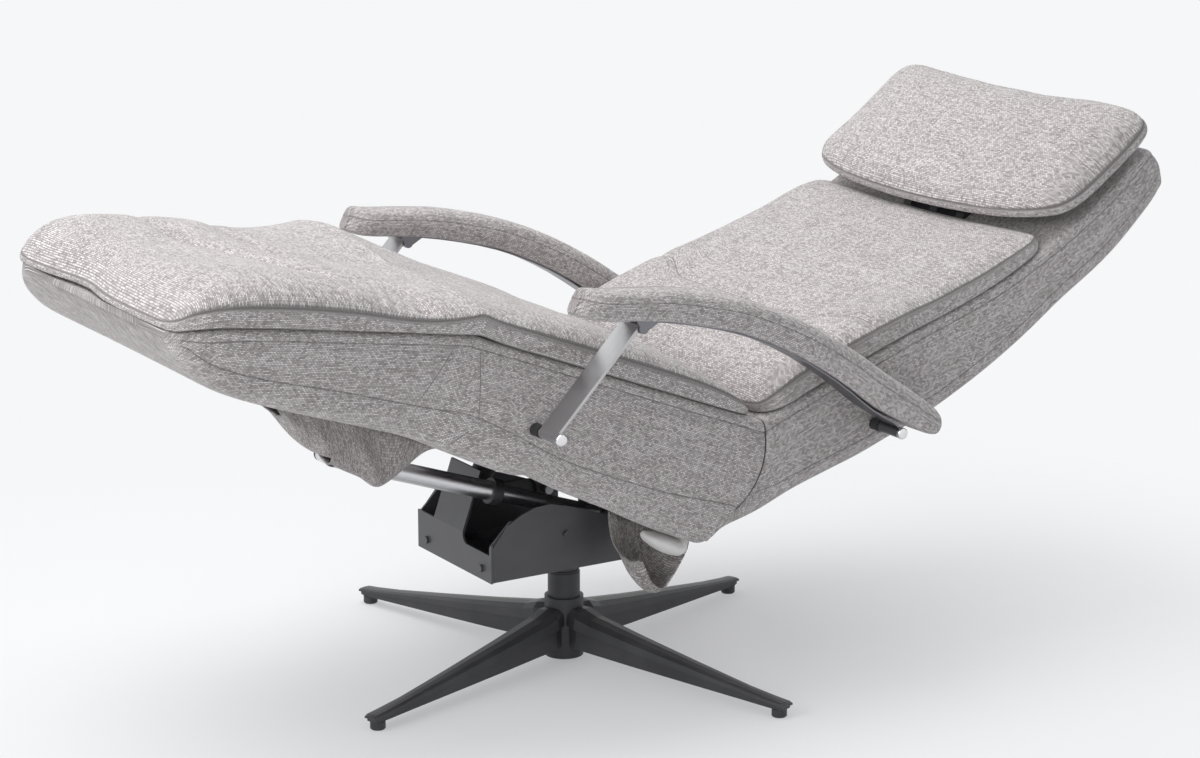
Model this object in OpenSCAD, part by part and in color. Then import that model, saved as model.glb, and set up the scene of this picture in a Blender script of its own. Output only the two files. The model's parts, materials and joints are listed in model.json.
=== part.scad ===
// Star base swivel recliner, drawn lying back with the leg rest raised.
// Millimetres, +Z up, the leg rest points to -Y and +X is the sitter's left.
// The origin is on the floor at the swivel axis.
// Side outlines are drawn in a frame of their own for the leg rest, the seat and
// the back: u runs along the upholstery and v stands out of it towards the sitter.

/* [Posture] */
// Knee line ahead of the swivel axis
knee_ahead = 303; // [290:1:320]
// Height of the knee line over the floor
knee_height = 588; // [580:1:620]
// Fall of the seat towards the back, degrees
seat_fall = 21.2; // [20:0.1:22.5]
// Rise of the leg rest towards the feet, degrees
leg_rise = 8.6; // [6:0.1:11]
// Rise of the back towards the head, degrees
back_rise = 24.8; // [23.5:0.1:27]

/* [Upholstered body] */
// Length of the leg rest from the knee
leg_len = 430; // [400:1:460]
// Length of the seat from the knee to the crease
seat_len = 493; // [480:1:510]
// Length of the back from the crease to its top
back_len = 790; // [740:1:840]
// Width of the shells over the cloth
body_w = 580; // [540:1:620]
// Depth of the leg rest shell at the knee
leg_depth = 148; // [135:1:155]
// Depth of the seat shell at its deepest
seat_depth = 198; // [190:1:205]
// Depth of the back shell at its waist
back_depth = 112; // [105:1:125]
// Thickness of the side walls
side_wall = 40; // [34:1:44]
// Thickness of the platform under the pads
platform_t = 18; // [14:1:18]
// Thickness of the bottom pans and the rear panel
pan_t = 12; // [8:1:16]
// Radius of the rear end of the seat round the back hinge
tail_r = 119; // [116:1:120]
// Gap between the seat's rear end and the back
tail_gap = 1.5; // [0.8:0.1:3]

/* [Pads] */
// How far the leg and seat pads stand over the shells on each side
pad_over = 3; // [0:0.5:6]
// Height of the boxing on the leg and seat pads
boxing_h = 26; // [20:1:30]
// Crown of the leg and seat pads over the boxing
pad_crown = 40; // [20:1:42]
// Hollow down the middle of the leg pad
pad_dish = 15; // [0:1:20]
// How far the back pad stays inside the shell's edge on each side
back_pad_inset = 1; // [0:0.5:6]
// Thickness of the back pad
back_pad_t = 50; // [40:1:56]
// Width of the head pillow
pillow_w = 606; // [580:1:630]
// Length of the head pillow along the back
pillow_len = 245; // [220:1:260]
// Thickness of the head pillow
pillow_t = 66; // [50:1:75]

/* [Armrests] */
// Gap between the side of the shells and an armrest pad
arm_gap = 11; // [9:0.5:18]
// Width of an armrest pad
arm_w = 64; // [56:1:70]
// Width of the front strut and of the steel strip under the pad
strut_w = 44; // [38:1:46]
// Length of the front strut between its pins
strut_len = 188; // [184:1:191]
// Lean of the front strut from level, degrees
strut_lean = 46.3; // [44:0.1:48]
// Thickness of the strut
strut_t = 4.5; // [3:0.1:5]

/* [Star base] */
// Radius of the circle through the glides
foot_r = 400; // [350:1:440]
// Turn of the star against the seat, degrees
star_turn = 18.5; // [0:0.5:45]
// Diameter of a glide
glide_d = 22; // [18:1:26]
// Height of a glide below its arm
glide_h = 12; // [9:1:16]
// Diameter of the hub
hub_d = 58; // [54:1:66]
// Height of the hub's top over the floor
hub_top = 97; // [90:1:102]
// Diameter of the column tube
column_d = 48; // [44:1:50]
// Height of the column tube's top over the floor
column_top = 134; // [128:1:138]
// Diameter of the turning post
post_d = 38; // [34:1:40]

/* [Mechanism] */
// Width over the box's outer side plates
box_w = 218; // [210:1:226]
// Height of the box's bottom over the floor
box_bottom = 173; // [168:1:178]
// Front of the box ahead of the swivel axis
box_front = 185; // [175:1:195]
// Height of the upright part of the front plate
front_h = 57; // [50:1:62]
// Thickness of the box's sheet metal
sheet_t = 3; // [2:0.1:3.5]
// Tilt shaft behind the swivel axis
tilt_y = 28; // [24:1:34]
// Height of the tilt shaft over the floor
tilt_z = 232; // [226:1:236]
// Diameter of the leg rest actuator's silver tube
tube_d = 28; // [24:1:30]
// Thickness of the steel frame plates
plate_t = 5; // [4:0.5:6]
// Diameter of the frame's cross tubes
cross_d = 22; // [18:1:25]

/* [Hidden] */
$fn = 48;

// Clearances and overruns shared by several pieces
running = 0.05;
seat_gap = 0.3;
soft_gap = 0.5;
overrun = 2;
open_pivot = 3;

// Colours of the finishes
cloth = [0.72, 0.69, 0.67];
cloth_shade = [0.62, 0.59, 0.58];
black = [0.13, 0.13, 0.14];
steel = [0.62, 0.62, 0.63];
silver = [0.80, 0.80, 0.81];
chrome = [0.88, 0.88, 0.90];
grey_steel = [0.30, 0.30, 0.32];

// Frames of the leg rest, the seat and the back in the side view
function turn(p, a) = [p[0] * cos(a) - p[1] * sin(a), p[0] * sin(a) + p[1] * cos(a)];
knee = [-knee_ahead, knee_height];
pad_w = body_w + 2 * pad_over;
back_pad_w = body_w - 2 * back_pad_inset;
arm_x = body_w / 2 + arm_gap + arm_w / 2;
function seat_at(u, v) = knee + turn([u, v], -seat_fall);
function leg_at(u, v) = knee + turn([-u, v], -leg_rise);
crease = seat_at(seat_len, 0);
function back_at(u, v) = crease + turn([u, v], back_rise);

// Pivots in the side view
leg_hinge_drop = 36;
leg_hinge = seat_at(0, -leg_hinge_drop);
back_hinge_u = 395;
back_hinge_drop = 70;
back_hinge = seat_at(back_hinge_u, -back_hinge_drop);
tilt_pivot = [tilt_y, tilt_z];
strut_foot_u = 130;
strut_foot_drop = 100;
strut_foot = seat_at(strut_foot_u, -strut_foot_drop);
strut_head = strut_foot + strut_len * [cos(strut_lean), sin(strut_lean)];
arm_pin_u = 160;
arm_pin_drop = 110;
arm_pin = back_at(arm_pin_u, -arm_pin_drop);

// Smooth curve through rows of numbers
function between(a, b, c, d, t) = 0.5 * (2 * b + (c - a) * t
  + (2 * a - 5 * b + 4 * c - d) * t * t + (3 * b - a - 3 * c + d) * t * t * t);
function smooth(rows, n) = concat([
  for (i = [0 : len(rows) - 2], k = [0 : n - 1])
    between(rows[max(i - 1, 0)], rows[i], rows[i + 1],
      rows[min(i + 2, len(rows) - 1)], k / n)
], [rows[len(rows) - 1]]);

// Closed solid through rings of the same number of points
module loft(rings) {
  n = len(rings[0]);
  m = len(rings);
  first = [for (j = [1 : n - 2]) [0, j + 1, j]];
  last = [for (j = [1 : n - 2]) [(m - 1) * n, (m - 1) * n + j, (m - 1) * n + j + 1]];
  sides = [
    for (i = [0 : m - 2], j = [0 : n - 1], half = [0, 1])
      let (a = i * n + j, b = i * n + (j + 1) % n)
        half == 0 ? [a, b, b + n] : [a, b + n, a + n]
  ];
  polyhedron(points = [for (r = rings) each r], faces = concat(first, sides, last));
}

// Side view outline drawn in Y and Z, given a thickness in X
module slab(x, w) {
  translate([x - w / 2, 0, 0]) rotate([90, 0, 90]) linear_extrude(w) children();
}

module at_both_sides(x) {
  for (side = [-1, 1]) translate([side * x, 0, 0]) children();
}

module spot(p, r) {
  translate(p) circle(r);
}

// Flat bar with round ends between two points of the side view, its waist a little drawn in
bar_waist_share = 0.96;
module bar(a, b, w) {
  d = b - a;
  translate(a) rotate(atan2(d[1], d[0])) translate([0, -w / 2 * bar_waist_share])
    square([norm(d), w * bar_waist_share]);
  spot(a, w / 2);
  spot(b, w / 2);
}

// Straight round rod between two points of the side view
module rod(a, b, x, r) {
  d = b - a;
  translate([x, a[0], a[1]]) rotate([atan2(-d[0], d[1]), 0, 0]) cylinder(h = norm(d), r = r);
}

module cross_pin(p, x, w, r) {
  translate([x - w / 2, p[0], p[1]]) rotate([0, 90, 0]) cylinder(h = w, r = r);
}

// Upholstered shell: a row is u and v of the top, u and v of the bottom, half width
// and how far the middle stands ahead of the sides
top_round = 14;
low_round_w = 30;
low_round_h = 26;
round_step = 30;
function shell_ring(row, at) =
  let (
    top = [row[0], row[1]], low = [row[2], row[3]], w = row[4], bow = row[5],
    depth = norm(top - low), down = (low - top) / depth,
    k = min(1, depth / (2.6 * low_round_h)),
    half = concat(
      [[0, 0]],
      [for (a = [0 : round_step : 90])
        [w - top_round * k * (1 - sin(a)), top_round * k * (1 - cos(a))]],
      [for (a = [0 : round_step : 90])
        [w - low_round_w * k * (1 - cos(a)), depth - low_round_h * k * (1 - sin(a))]],
      [[0, depth]]
    ),
    n = len(half),
    loop = concat(half, [for (i = [n - 2 : -1 : 1]) [-half[i][0], half[i][1]]])
  )
  [for (q = loop)
    let (
      m = top + down * q[1] + [bow * (1 - pow(q[0] / w, 2)), 0],
      p = at == "leg" ? leg_at(m[0], m[1]) : at == "seat" ? seat_at(m[0], m[1]) : back_at(m[0], m[1])
    )
    [at == "leg" ? q[0] : -q[0], p[0], p[1]]];

// Pad: a row is u, v of the underside, boxing, crown, dish, half width and lean
pad_columns = 12;
pad_edge = 10;
pad_power = 6;
function pad_ring(row, at, bow) =
  let (
    u = row[0], v = row[1], box = row[2], crown = row[3], dish = row[4], w = row[5],
    lean = row[6], inset = min(pad_edge, box),
    under = [[-w + inset, 0], [w - inset, 0]],
    top = [for (i = [0 : pad_columns])
      let (s = 1 - 2 * i / pad_columns)
        [w * s, box + crown * sqrt(1 - pow(abs(s), pad_power)) - dish * pow(1 - s * s, 2)]]
  )
  [for (q = concat(under, top))
    let (uu = u + lean * q[1] + bow * (1 - pow(q[0] / w, 2)), vv = v + q[1],
      p = at == "leg" ? leg_at(uu, vv) : at == "seat" ? seat_at(uu, vv) : back_at(uu, vv))
    at == "leg" ? [-q[0], p[0], p[1]] : [q[0], p[0], p[1]]];

/* Star base */
hub_foot = 5;
star_web_width_share = 0.78;
star_web_reach_share = 0.992;
// Share of the glide circle, top height, bottom height and half width of an arm,
// the heights as shares of the hub's height and the widths of its radius
star_arm_shares = [
  [0.05, 0.87, 0.26, 0.66],
  [0.10, 0.85, 0.25, 0.87],
  [0.16, 0.77, 0.235, 0.80],
  [0.36, 0.63, 0.20, 0.68],
  [0.62, 0.465, 0.165, 0.54],
  [0.86, 0.32, 0.135, 0.42],
  [0.97, 0.265, 0.127, 0.43],
  [1.025, 0.245, 0.127, 0.42],
  [1.04, 0.225, 0.135, 0.36]
];
// Rounded cap of an arm, as shares of its half width and of its height from the top
star_cap_shares = [
  [1, 0.45], [0.93, 0.16], [0.6, 0.03], [0, 0], [-0.6, 0.03], [-0.93, 0.16], [-1, 0.45]
];
star_web_shares = [[-1, 0.4], [-1, 1], [1, 1], [1, 0.4]];

function star_ring(row, section, wide, reach) =
  let (
    top = row[1] * hub_top, h = top - max(row[2] * hub_top, glide_h),
    w = wide * row[3] * hub_d / 2
  )
  [for (q = section) [row[0] * foot_r * reach, -q[0] * w, top - q[1] * h]];

module base_star() {
  color(black) difference() {
    union() {
      for (k = [0 : 3]) rotate([0, 0, star_turn + 90 * k]) {
        loft([for (row = star_arm_shares) star_ring(row, star_cap_shares, 1, 1)]);
        loft([for (row = star_arm_shares)
          star_ring(row, star_web_shares, star_web_width_share, star_web_reach_share)]);
      }
      translate([0, 0, hub_foot]) cylinder(h = hub_top - hub_foot, d = hub_d);
    }
    translate([0, 0, hub_foot + pan_t / 2])
      cylinder(h = hub_top, d = column_d + 2 * running);
    for (k = [0 : 3]) rotate([0, 0, star_turn + 90 * k]) translate([foot_r, 0, 0])
      cylinder(h = glide_h + glide_stem_h + seat_gap, d = glide_stem_d + 2 * running);
  }
}

glide_stem_d = 8;
glide_stem_h = 6;
glide_edge = 1.5;

module glides() {
  color(black) for (k = [0 : 3]) rotate([0, 0, star_turn + 90 * k]) translate([foot_r, 0, 0]) {
    rotate_extrude() polygon([
      [0, 0], [glide_d / 2 - glide_edge, 0], [glide_d / 2, glide_edge],
      [glide_d / 2, glide_h], [0, glide_h]
    ]);
    cylinder(h = glide_h + glide_stem_h, d = glide_stem_d);
  }
}

column_wall = 2.5;
bush_h = 18;
bush_flange_h = 3;
post_foot = hub_foot + pan_t;

module column_tube() {
  color(black) difference() {
    translate([0, 0, hub_foot + pan_t / 2 + seat_gap])
      cylinder(h = column_top - hub_foot - pan_t / 2 - seat_gap, d = column_d);
    translate([0, 0, hub_foot + pan_t])
      cylinder(h = column_top, d = column_d - 2 * column_wall);
  }
}

module column_bush() {
  color(black) difference() {
    union() {
      translate([0, 0, column_top - bush_h])
        cylinder(h = bush_h, d = column_d - 2 * column_wall - 2 * running);
      translate([0, 0, column_top])
        cylinder(h = bush_flange_h, d = column_d - column_wall);
    }
    translate([0, 0, column_top - bush_h - overrun])
      cylinder(h = bush_h + bush_flange_h + 2 * overrun, d = post_d + 2 * running);
  }
}

/* Turning carriage */
module turning_post() {
  color(black) {
    translate([0, 0, post_foot + seat_gap])
      cylinder(h = box_bottom - post_foot - seat_gap, d = post_d);
    translate([0, 0, column_top + bush_flange_h + seat_gap])
      cylinder(h = collar_h, d = post_d + 2 * collar_wall);
  }
}

collar_h = 14;
collar_wall = 2;
post_plate_t = 6;
post_plate_len = 140;
box_rear = 52;
channel_x = box_w / 2 - sheet_t - sheet_t / 2;
channel_over_pin = 18;
channel_top = tilt_z + channel_over_pin;

module post_plate() {
  wide = box_w - 4 * sheet_t - 2 * seat_gap;
  color(black) translate([-wide / 2, -post_plate_len / 2 - post_d / 2, box_bottom + sheet_t])
    cube([wide, post_plate_len, post_plate_t]);
}

// Folded channel that carries the tilt pins
module box_channel() {
  floor_l = box_front - sheet_t;
  color(black) difference() {
    union() {
      translate([-box_w / 2 + sheet_t, -floor_l, box_bottom])
        cube([box_w - 2 * sheet_t, floor_l + box_rear, sheet_t]);
      at_both_sides(channel_x) slab(0, sheet_t) difference() {
        polygon([
          [-floor_l, box_bottom], [box_rear, box_bottom], [box_rear, channel_top - pan_t],
          [tilt_y, channel_top], [-floor_l / 3, channel_top],
          [-floor_l + front_lean, box_bottom + front_h + front_lean],
          [-floor_l, box_bottom + front_h]
        ]);
        spot(tilt_pivot, tilt_pin_d / 2);
      }
    }
  }
}

front_lean = 30;
front_rise = 86;
front_inset = 49;
slot_near = 26;
slot_floor = 41;
front_corner = 12;

// Front plate: upright at the foot, leaning back above, open on one side for the tube
module box_front_plate() {
  inner = box_w / 2 - 2 * sheet_t;
  slot_w = inner - slot_near;
  leaning_w = inner + box_w / 2 - front_inset;
  color(black) difference() {
    union() {
      translate([-box_w / 2, -box_front, box_bottom])
        cube([box_w, sheet_t, front_h]);
      slab(inner - leaning_w / 2, leaning_w) polygon([
        [-box_front, box_bottom + front_h], [-box_front + sheet_t, box_bottom + front_h - sheet_t],
        [-box_front + front_lean + sheet_t, box_bottom + front_h + front_rise],
        [-box_front + front_lean, box_bottom + front_h + front_rise]
      ]);
    }
    translate([slot_near, -box_front + front_lean + 2 * sheet_t, box_bottom + slot_floor + front_corner])
      rotate([90, 0, 0]) linear_extrude(front_lean + 4 * sheet_t) {
        square([slot_w + overrun, front_h + front_rise]);
        translate([front_corner, -front_corner]) square([slot_w - front_corner, front_h]);
        translate([front_corner, 0]) circle(front_corner);
      }
    for (side = [-1, 1]) translate([side * screw_x, -box_front - overrun, box_bottom + screw_up])
      rotate([-90, 0, 0]) cylinder(h = sheet_t + 2 * overrun, d = screw_d + 2 * running);
  }
}

screw_x = 81;
screw_up = 17;
screw_d = 6;
screw_head_d = 11;
screw_head_h = 3.5;
screw_len = 12;
side_screw_y = -61;
side_screw_z = 228;
side_screw = [side_screw_y, side_screw_z];

module box_screws() {
  color(black) {
    for (side = [-1, 1]) translate([side * screw_x, -box_front, box_bottom + screw_up])
      rotate([-90, 0, 0]) {
        cylinder(h = screw_len, d = screw_d);
        translate([0, 0, -screw_head_h - seat_gap]) cylinder(h = screw_head_h + seat_gap, d = screw_head_d);
      }
    for (side = [-1, 1]) translate([side * (box_w / 2 + seat_gap), side_screw[0], side_screw[1]])
      rotate([0, side * 90, 0]) cylinder(h = screw_head_h, d = screw_head_d);
  }
}

// Outer side plates, their top rounded under the seat
side_plate_rise = 106;
side_plate_shares = [
  [-1, 0.06], [-1, 0.5], [-0.86, 0.78], [-0.73, 0.9], [-0.62, 0.965], [-0.48, 0.98],
  [-0.28, 0.89], [-0.09, 0.78], [0.06, 0.68], [0.06, 0.58], [-0.8, 0.19]
];

module box_side_plates() {
  color(black) at_both_sides(box_w / 2 - sheet_t / 2)
    slab(0, sheet_t) polygon([for (s = side_plate_shares)
      [s[0] * (box_front - sheet_t - seat_gap), box_bottom + s[1] * side_plate_rise]]);
}

tilt_pin_d = 14;
tilt_pin_len = 18;
bracket_gap = 2;
bracket_x = channel_x - sheet_t / 2 - bracket_gap - plate_t / 2;

module tilt_pins() {
  color(steel) for (side = [-1, 1])
    cross_pin(tilt_pivot, side * (channel_x - tilt_pin_len / 2 + sheet_t / 2),
      tilt_pin_len, tilt_pin_d / 2);
}

// Two ears on the box floor and the pin of the tilt actuator's foot
module tilt_ears() {
  color(black) {
    for (side = [-1, 1]) slab(tilt_act_x + side * small_ear_x, ear_t) {
      spot(tilt_low, small_eye_r);
      translate([tilt_low[0] - small_eye_r, box_bottom + sheet_t + seat_gap])
        square([2 * small_eye_r, tilt_low[1] - box_bottom - sheet_t - seat_gap]);
    }
    cross_pin(tilt_low, tilt_act_x, 2 * small_ear_x + ear_t, act_pin_d / 2);
  }
}

/* Seat frame */
frame_gap = 7;
rail_gap = 3;
frame_x = body_w / 2 - side_wall - frame_gap - plate_t / 2;
rail_x = frame_x - plate_t - rail_gap;
hinge_pin_d = 12;
eye_r = 11;
cross_front_u = 62;
cross_front_drop = 58;
cross_mid_u = 245;
cross_mid_drop = 66;
cross_rear_u = 352;
cross_rear_drop = 66;
cross_front = seat_at(cross_front_u, -cross_front_drop);
cross_mid = seat_at(cross_mid_u, -cross_mid_drop);
cross_rear = seat_at(cross_rear_u, -cross_rear_drop);

module seat_frame_plates() {
  color(black) at_both_sides(frame_x) slab(0, plate_t) difference() {
    union() {
      spot(leg_hinge, eye_r);
      spot(back_hinge, 2 * eye_r);
      spot(strut_foot, 1.5 * eye_r);
      bar(leg_hinge + [0, -eye_r / 2], cross_front, eye_r);
      bar(cross_front, cross_mid, 3 * eye_r);
      bar(cross_mid, back_hinge, 3 * eye_r);
      bar(cross_front, strut_foot, 2 * eye_r);
      bar(strut_foot, cross_mid, 2 * eye_r);
    }
    spot(leg_hinge, hinge_pin_d / 2);
    spot(back_hinge, hinge_pin_d / 2);
    spot(strut_foot, strut_pin_d / 2);
    for (p = [cross_front, cross_mid, cross_rear]) spot(p, cross_d / 2);
  }
}

module seat_cross_tubes() {
  tube_l = 2 * frame_x + plate_t;
  color(black) for (p = [cross_front, cross_mid, cross_rear]) difference() {
    cross_pin(p, 0, tube_l, cross_d / 2);
    cross_pin(p, 0, tube_l + 2 * overrun, cross_d / 2 - sheet_t);
  }
}

// Plates that hang from the cross tubes to the tilt pins
module tilt_brackets() {
  color(black) at_both_sides(bracket_x) slab(0, plate_t) difference() {
    union() {
      bar(cross_mid, cross_rear, 3 * eye_r);
      bar(cross_rear, tilt_pivot, 3 * eye_r);
      bar(cross_mid, tilt_pivot, 2 * eye_r);
    }
    spot(cross_mid, cross_d / 2);
    spot(cross_rear, cross_d / 2);
    spot(tilt_pivot, tilt_pin_d / 2 + running);
  }
}

// Ears on the cross tubes for the tilt actuator's head and the recline actuator's foot
module actuator_lugs() {
  color(black) {
    for (side = [-1, 1]) {
      slab(tilt_act_x + side * small_ear_x, ear_t) difference() {
        union() {
          bar(cross_mid, tilt_high, 2 * small_eye_r);
          bar(cross_rear, tilt_high, 2 * small_eye_r);
          for (p = [cross_mid, cross_rear]) spot(p, cross_d / 2 + ear_t);
        }
        for (p = [cross_mid, cross_rear]) spot(p, cross_d / 2);
      }
      slab(recline_x + side * small_ear_x, ear_t) difference() {
        union() {
          bar(cross_front, recline_low, 2 * small_eye_r);
          spot(cross_front, cross_d / 2 + ear_t);
        }
        spot(cross_front, cross_d / 2);
      }
    }
    cross_pin(recline_low, recline_x, 2 * small_ear_x + ear_t, act_pin_d / 2);
    cross_pin(tilt_high, tilt_act_x, 2 * small_ear_x + ear_t, act_pin_d / 2);
  }
}

/* Leg rest actuator */
act_x = 52;
act_rear_y = 115;
act_rear_z = 200;
act_rear = [act_rear_y, act_rear_z];
leg_lug_u = 77;
leg_lug_drop = 220;
act_front = leg_at(leg_lug_u, -leg_lug_drop);
act_dir = (act_front - act_rear) / norm(act_front - act_rear);
tube_wall = 1.6;
inner_tube_d = tube_d - 2 * tube_wall - 2 * running;
motor_len = 62;
motor_h = 52;
motor_w = 56;
motor_pin_inset = 18;
act_pin_d = 10;
act_eye_r = 11;
ear_t = 4;
ear_gap = 1;
act_stroke = 195;
inner_len = 0.6 * norm(act_front - act_rear);
collar_len = 15;
collar_at_share = 0.5;
collar_d = 38;
motor_ear_x = motor_w / 2 + ear_gap + ear_t / 2;

// Two ears from the rear cross tube down to the actuator, and its pin
module motor_bracket() {
  bend = tilt_pivot + [0, -tilt_pin_d];
  color(black) {
    for (side = [-1, 1]) slab(act_x + side * motor_ear_x, ear_t) difference() {
      union() {
        bar(cross_rear, bend, 2 * act_eye_r);
        bar(bend, act_rear, 2 * act_eye_r);
      }
      spot(cross_rear, cross_d / 2);
    }
    cross_pin(act_rear, act_x, 2 * motor_ear_x + ear_t, act_pin_d / 2);
  }
}

module actuator_motor() {
  color(black) difference() {
    slab(act_x, motor_w) difference() {
      translate(act_rear) rotate(atan2(act_dir[1], act_dir[0]))
        translate([-motor_pin_inset, -motor_h / 2]) square([motor_len, motor_h]);
      spot(act_rear, act_pin_d / 2 + running);
    }
    rod(act_rear + act_dir * motor_pin_inset, act_front, act_x, inner_tube_d / 2);
  }
}

module actuator_inner_tube() {
  color(silver) rod(act_rear + act_dir * motor_pin_inset, act_rear + act_dir * inner_len,
    act_x, inner_tube_d / 2);
}

module actuator_outer_tube() {
  start = act_rear + act_dir * collar_at_share * norm(act_front - act_rear);
  color(silver) difference() {
    union() {
      rod(start, act_front - act_dir * act_eye_r / 2, act_x, tube_d / 2);
      cross_pin(act_front, act_x, tube_d, act_eye_r);
    }
    rod(start - act_dir * overrun, act_rear + act_dir * (inner_len + act_stroke + overrun),
      act_x, inner_tube_d / 2 + running);
    cross_pin(act_front, act_x, 2 * tube_d, act_pin_d / 2 + open_pivot / 2);
  }
}

module actuator_collar() {
  start = act_rear + act_dir * (collar_at_share * norm(act_front - act_rear) - collar_len / 2);
  color(black) difference() {
    rod(start, start + act_dir * collar_len, act_x, collar_d / 2);
    rod(start - act_dir * overrun, start + act_dir * (collar_len + overrun),
      act_x, inner_tube_d / 2 + running);
    rod(start + act_dir * collar_len / 2, start + act_dir * (collar_len + overrun), act_x, tube_d / 2);
  }
}

/* Hinge pins, spacers and caps */
strut_pin_d = 10;
spacer_d = 18;
cap_d = 17;
cap_h = 7;
cap_round = 4;
spacer_gap = 1;

module leg_hinge_pins() {
  color(steel) for (side = [-1, 1])
    cross_pin(leg_hinge, side * (rail_x + frame_x) / 2, frame_x - rail_x + 2 * plate_t, hinge_pin_d / 2);
}

module back_hinge_pins() {
  color(steel) for (side = [-1, 1])
    cross_pin(back_hinge, side * (rail_x + frame_x) / 2, frame_x - rail_x + 2 * plate_t, hinge_pin_d / 2);
}

// One shaft a side from the frame plate to the cap outside the armrest
module side_shafts(p, inner) {
  outer = arm_x + strut_w / 2 + spacer_gap;
  for (side = [-1, 1]) cross_pin(p, side * (inner + outer) / 2, outer - inner, strut_pin_d / 2);
}

module side_spacers(p) {
  inner = body_w / 2 + seat_gap;
  outer = arm_x - strut_w / 2 - spacer_gap;
  for (side = [-1, 1]) difference() {
    cross_pin(p, side * (inner + outer) / 2, outer - inner, spacer_d / 2);
    cross_pin(p, side * (inner + outer) / 2, outer - inner + 2 * overrun, strut_pin_d / 2);
  }
}

module side_caps(p) {
  outer = arm_x + strut_w / 2 + spacer_gap;
  for (side = [-1, 1]) translate([side * outer, p[0], p[1]]) rotate([0, side * 90, 0])
    rotate_extrude() polygon(concat(
      [[0, 0], [cap_d / 2, 0]],
      [for (a = [0 : 18 : 90]) [cap_d / 2 - cap_round * (1 - cos(a)), cap_h - cap_round * (1 - sin(a))]],
      [[0, cap_h]]
    ));
}

module strut_pins() {
  color(steel) side_shafts(strut_foot, frame_x - plate_t / 2);
}

module strut_spacers() {
  color(black) side_spacers(strut_foot);
}

module strut_caps() {
  color(chrome) side_caps(strut_foot);
}

module arm_pins() {
  color(steel) side_shafts(arm_pin, rail_x - plate_t / 2);
}

module arm_spacers() {
  color(black) side_spacers(arm_pin);
}

module arm_caps() {
  color(chrome) side_caps(arm_pin);
}

/* Seat upholstery */
// Shares of the seat's length and depth, and of half the body's width
seat_top_share = -0.015;
seat_shell_shares = [
  [0.022, -0.03, 0.26, -0.60, 0.990],
  [0.09, -0.02, 0.30, -0.70, 0.996],
  [0.18, seat_top_share, 0.34, -0.83, 1],
  [0.34, seat_top_share, 0.436, -0.89, 1],
  [0.54, seat_top_share, 0.61, -0.93, 1],
  [0.74, seat_top_share, 0.77, -0.98, 1],
  [0.92, seat_top_share, 0.93, -1, 0.998],
  [1.06, seat_top_share, 1.06, -1, 0.996]
];
seat_tail_knee_drop = 130;
seat_tail_end_u = 462;

// Rear end of the seat: round the back hinge, then straight down to the bottom
module seat_tail(gap) {
  r = tail_r + gap;
  corner_u = back_hinge_u + sqrt(pow(r, 2) - pow(seat_tail_knee_drop - back_hinge_drop, 2));
  spot(back_hinge, r);
  polygon([
    back_hinge, seat_at(corner_u, -seat_tail_knee_drop),
    seat_at(seat_tail_end_u + gap, -seat_depth), seat_at(seat_tail_end_u + gap, -seat_depth - overrun),
    seat_at(back_hinge_u / 2, -seat_depth - overrun), seat_at(back_hinge_u / 2, overrun),
    seat_at(back_hinge_u, overrun)
  ]);
}

bay_w = 262;
bay_rear_u = 480;

module seat_shell() {
  far = seat_len + tail_r;
  ceiling = seat_top_share * seat_depth - platform_t;
  color(cloth) difference() {
    loft([for (r = smooth(seat_shell_shares, 3)) shell_ring([
      r[0] * seat_len, r[1] * seat_depth, r[2] * seat_len, r[3] * seat_depth,
      r[4] * body_w / 2, 0
    ], "seat")]);
    slab(0, body_w - 2 * side_wall) polygon([
      seat_at(-far, ceiling), seat_at(far, ceiling),
      seat_at(far, pan_t - seat_depth), seat_at(back_hinge_u, pan_t - seat_depth * 0.98),
      seat_at(strut_foot_u, pan_t - seat_depth * 0.8), seat_at(-far, pan_t - seat_depth * 0.6)
    ]);
    slab(0, bay_w) polygon([
      seat_at(0, -seat_depth / 2), seat_at(bay_rear_u, -seat_depth / 2),
      seat_at(bay_rear_u, -seat_depth - overrun), seat_at(0, -seat_depth - overrun)
    ]);
    slab(0, body_w + 2 * overrun) difference() {
      polygon([
        seat_at(back_hinge_u, overrun), seat_at(far, overrun),
        seat_at(far, -2 * seat_depth), seat_at(back_hinge_u, -2 * seat_depth)
      ]);
      seat_tail(0);
    }
    at_both_sides(body_w / 2) cross_pin(strut_foot, 0, 3 * side_wall, strut_pin_d / 2 + seat_gap);
  }
}

// Shares of the seat's length, boxing, crown, dish, half width; then lean
seat_pad_shares = [
  [0.001, 0.94, 0.30, 0, 0.99, -0.1],
  [0.09, 0.96, 0.54, 0.05, 1, 0],
  [0.22, 1, 0.72, 0.1, 1, 0],
  [0.42, 1, 0.78, 0.1, 1, 0],
  [0.62, 1, 0.68, 0.1, 1, 0],
  [0.78, 0.92, 0.50, 0, 1, 0],
  [0.86, 0.80, 0.40, 0, 0.998, 0],
  [0.915, 0.62, 0.32, 0, 0.992, 0],
  [0.955, 0.38, 0.18, 0, 0.984, 0],
  [0.985, 0.08, 0.04, 0, 0.975, 0]
];

module seat_pad() {
  low = seat_top_share * seat_depth + seat_gap;
  color(cloth) loft([for (r = smooth(seat_pad_shares, 2)) pad_ring(
    [r[0] * seat_len, low, r[1] * boxing_h, r[2] * pad_crown, r[3] * pad_dish, r[4] * pad_w / 2, r[5]],
    "seat", 0)]);
}

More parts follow.
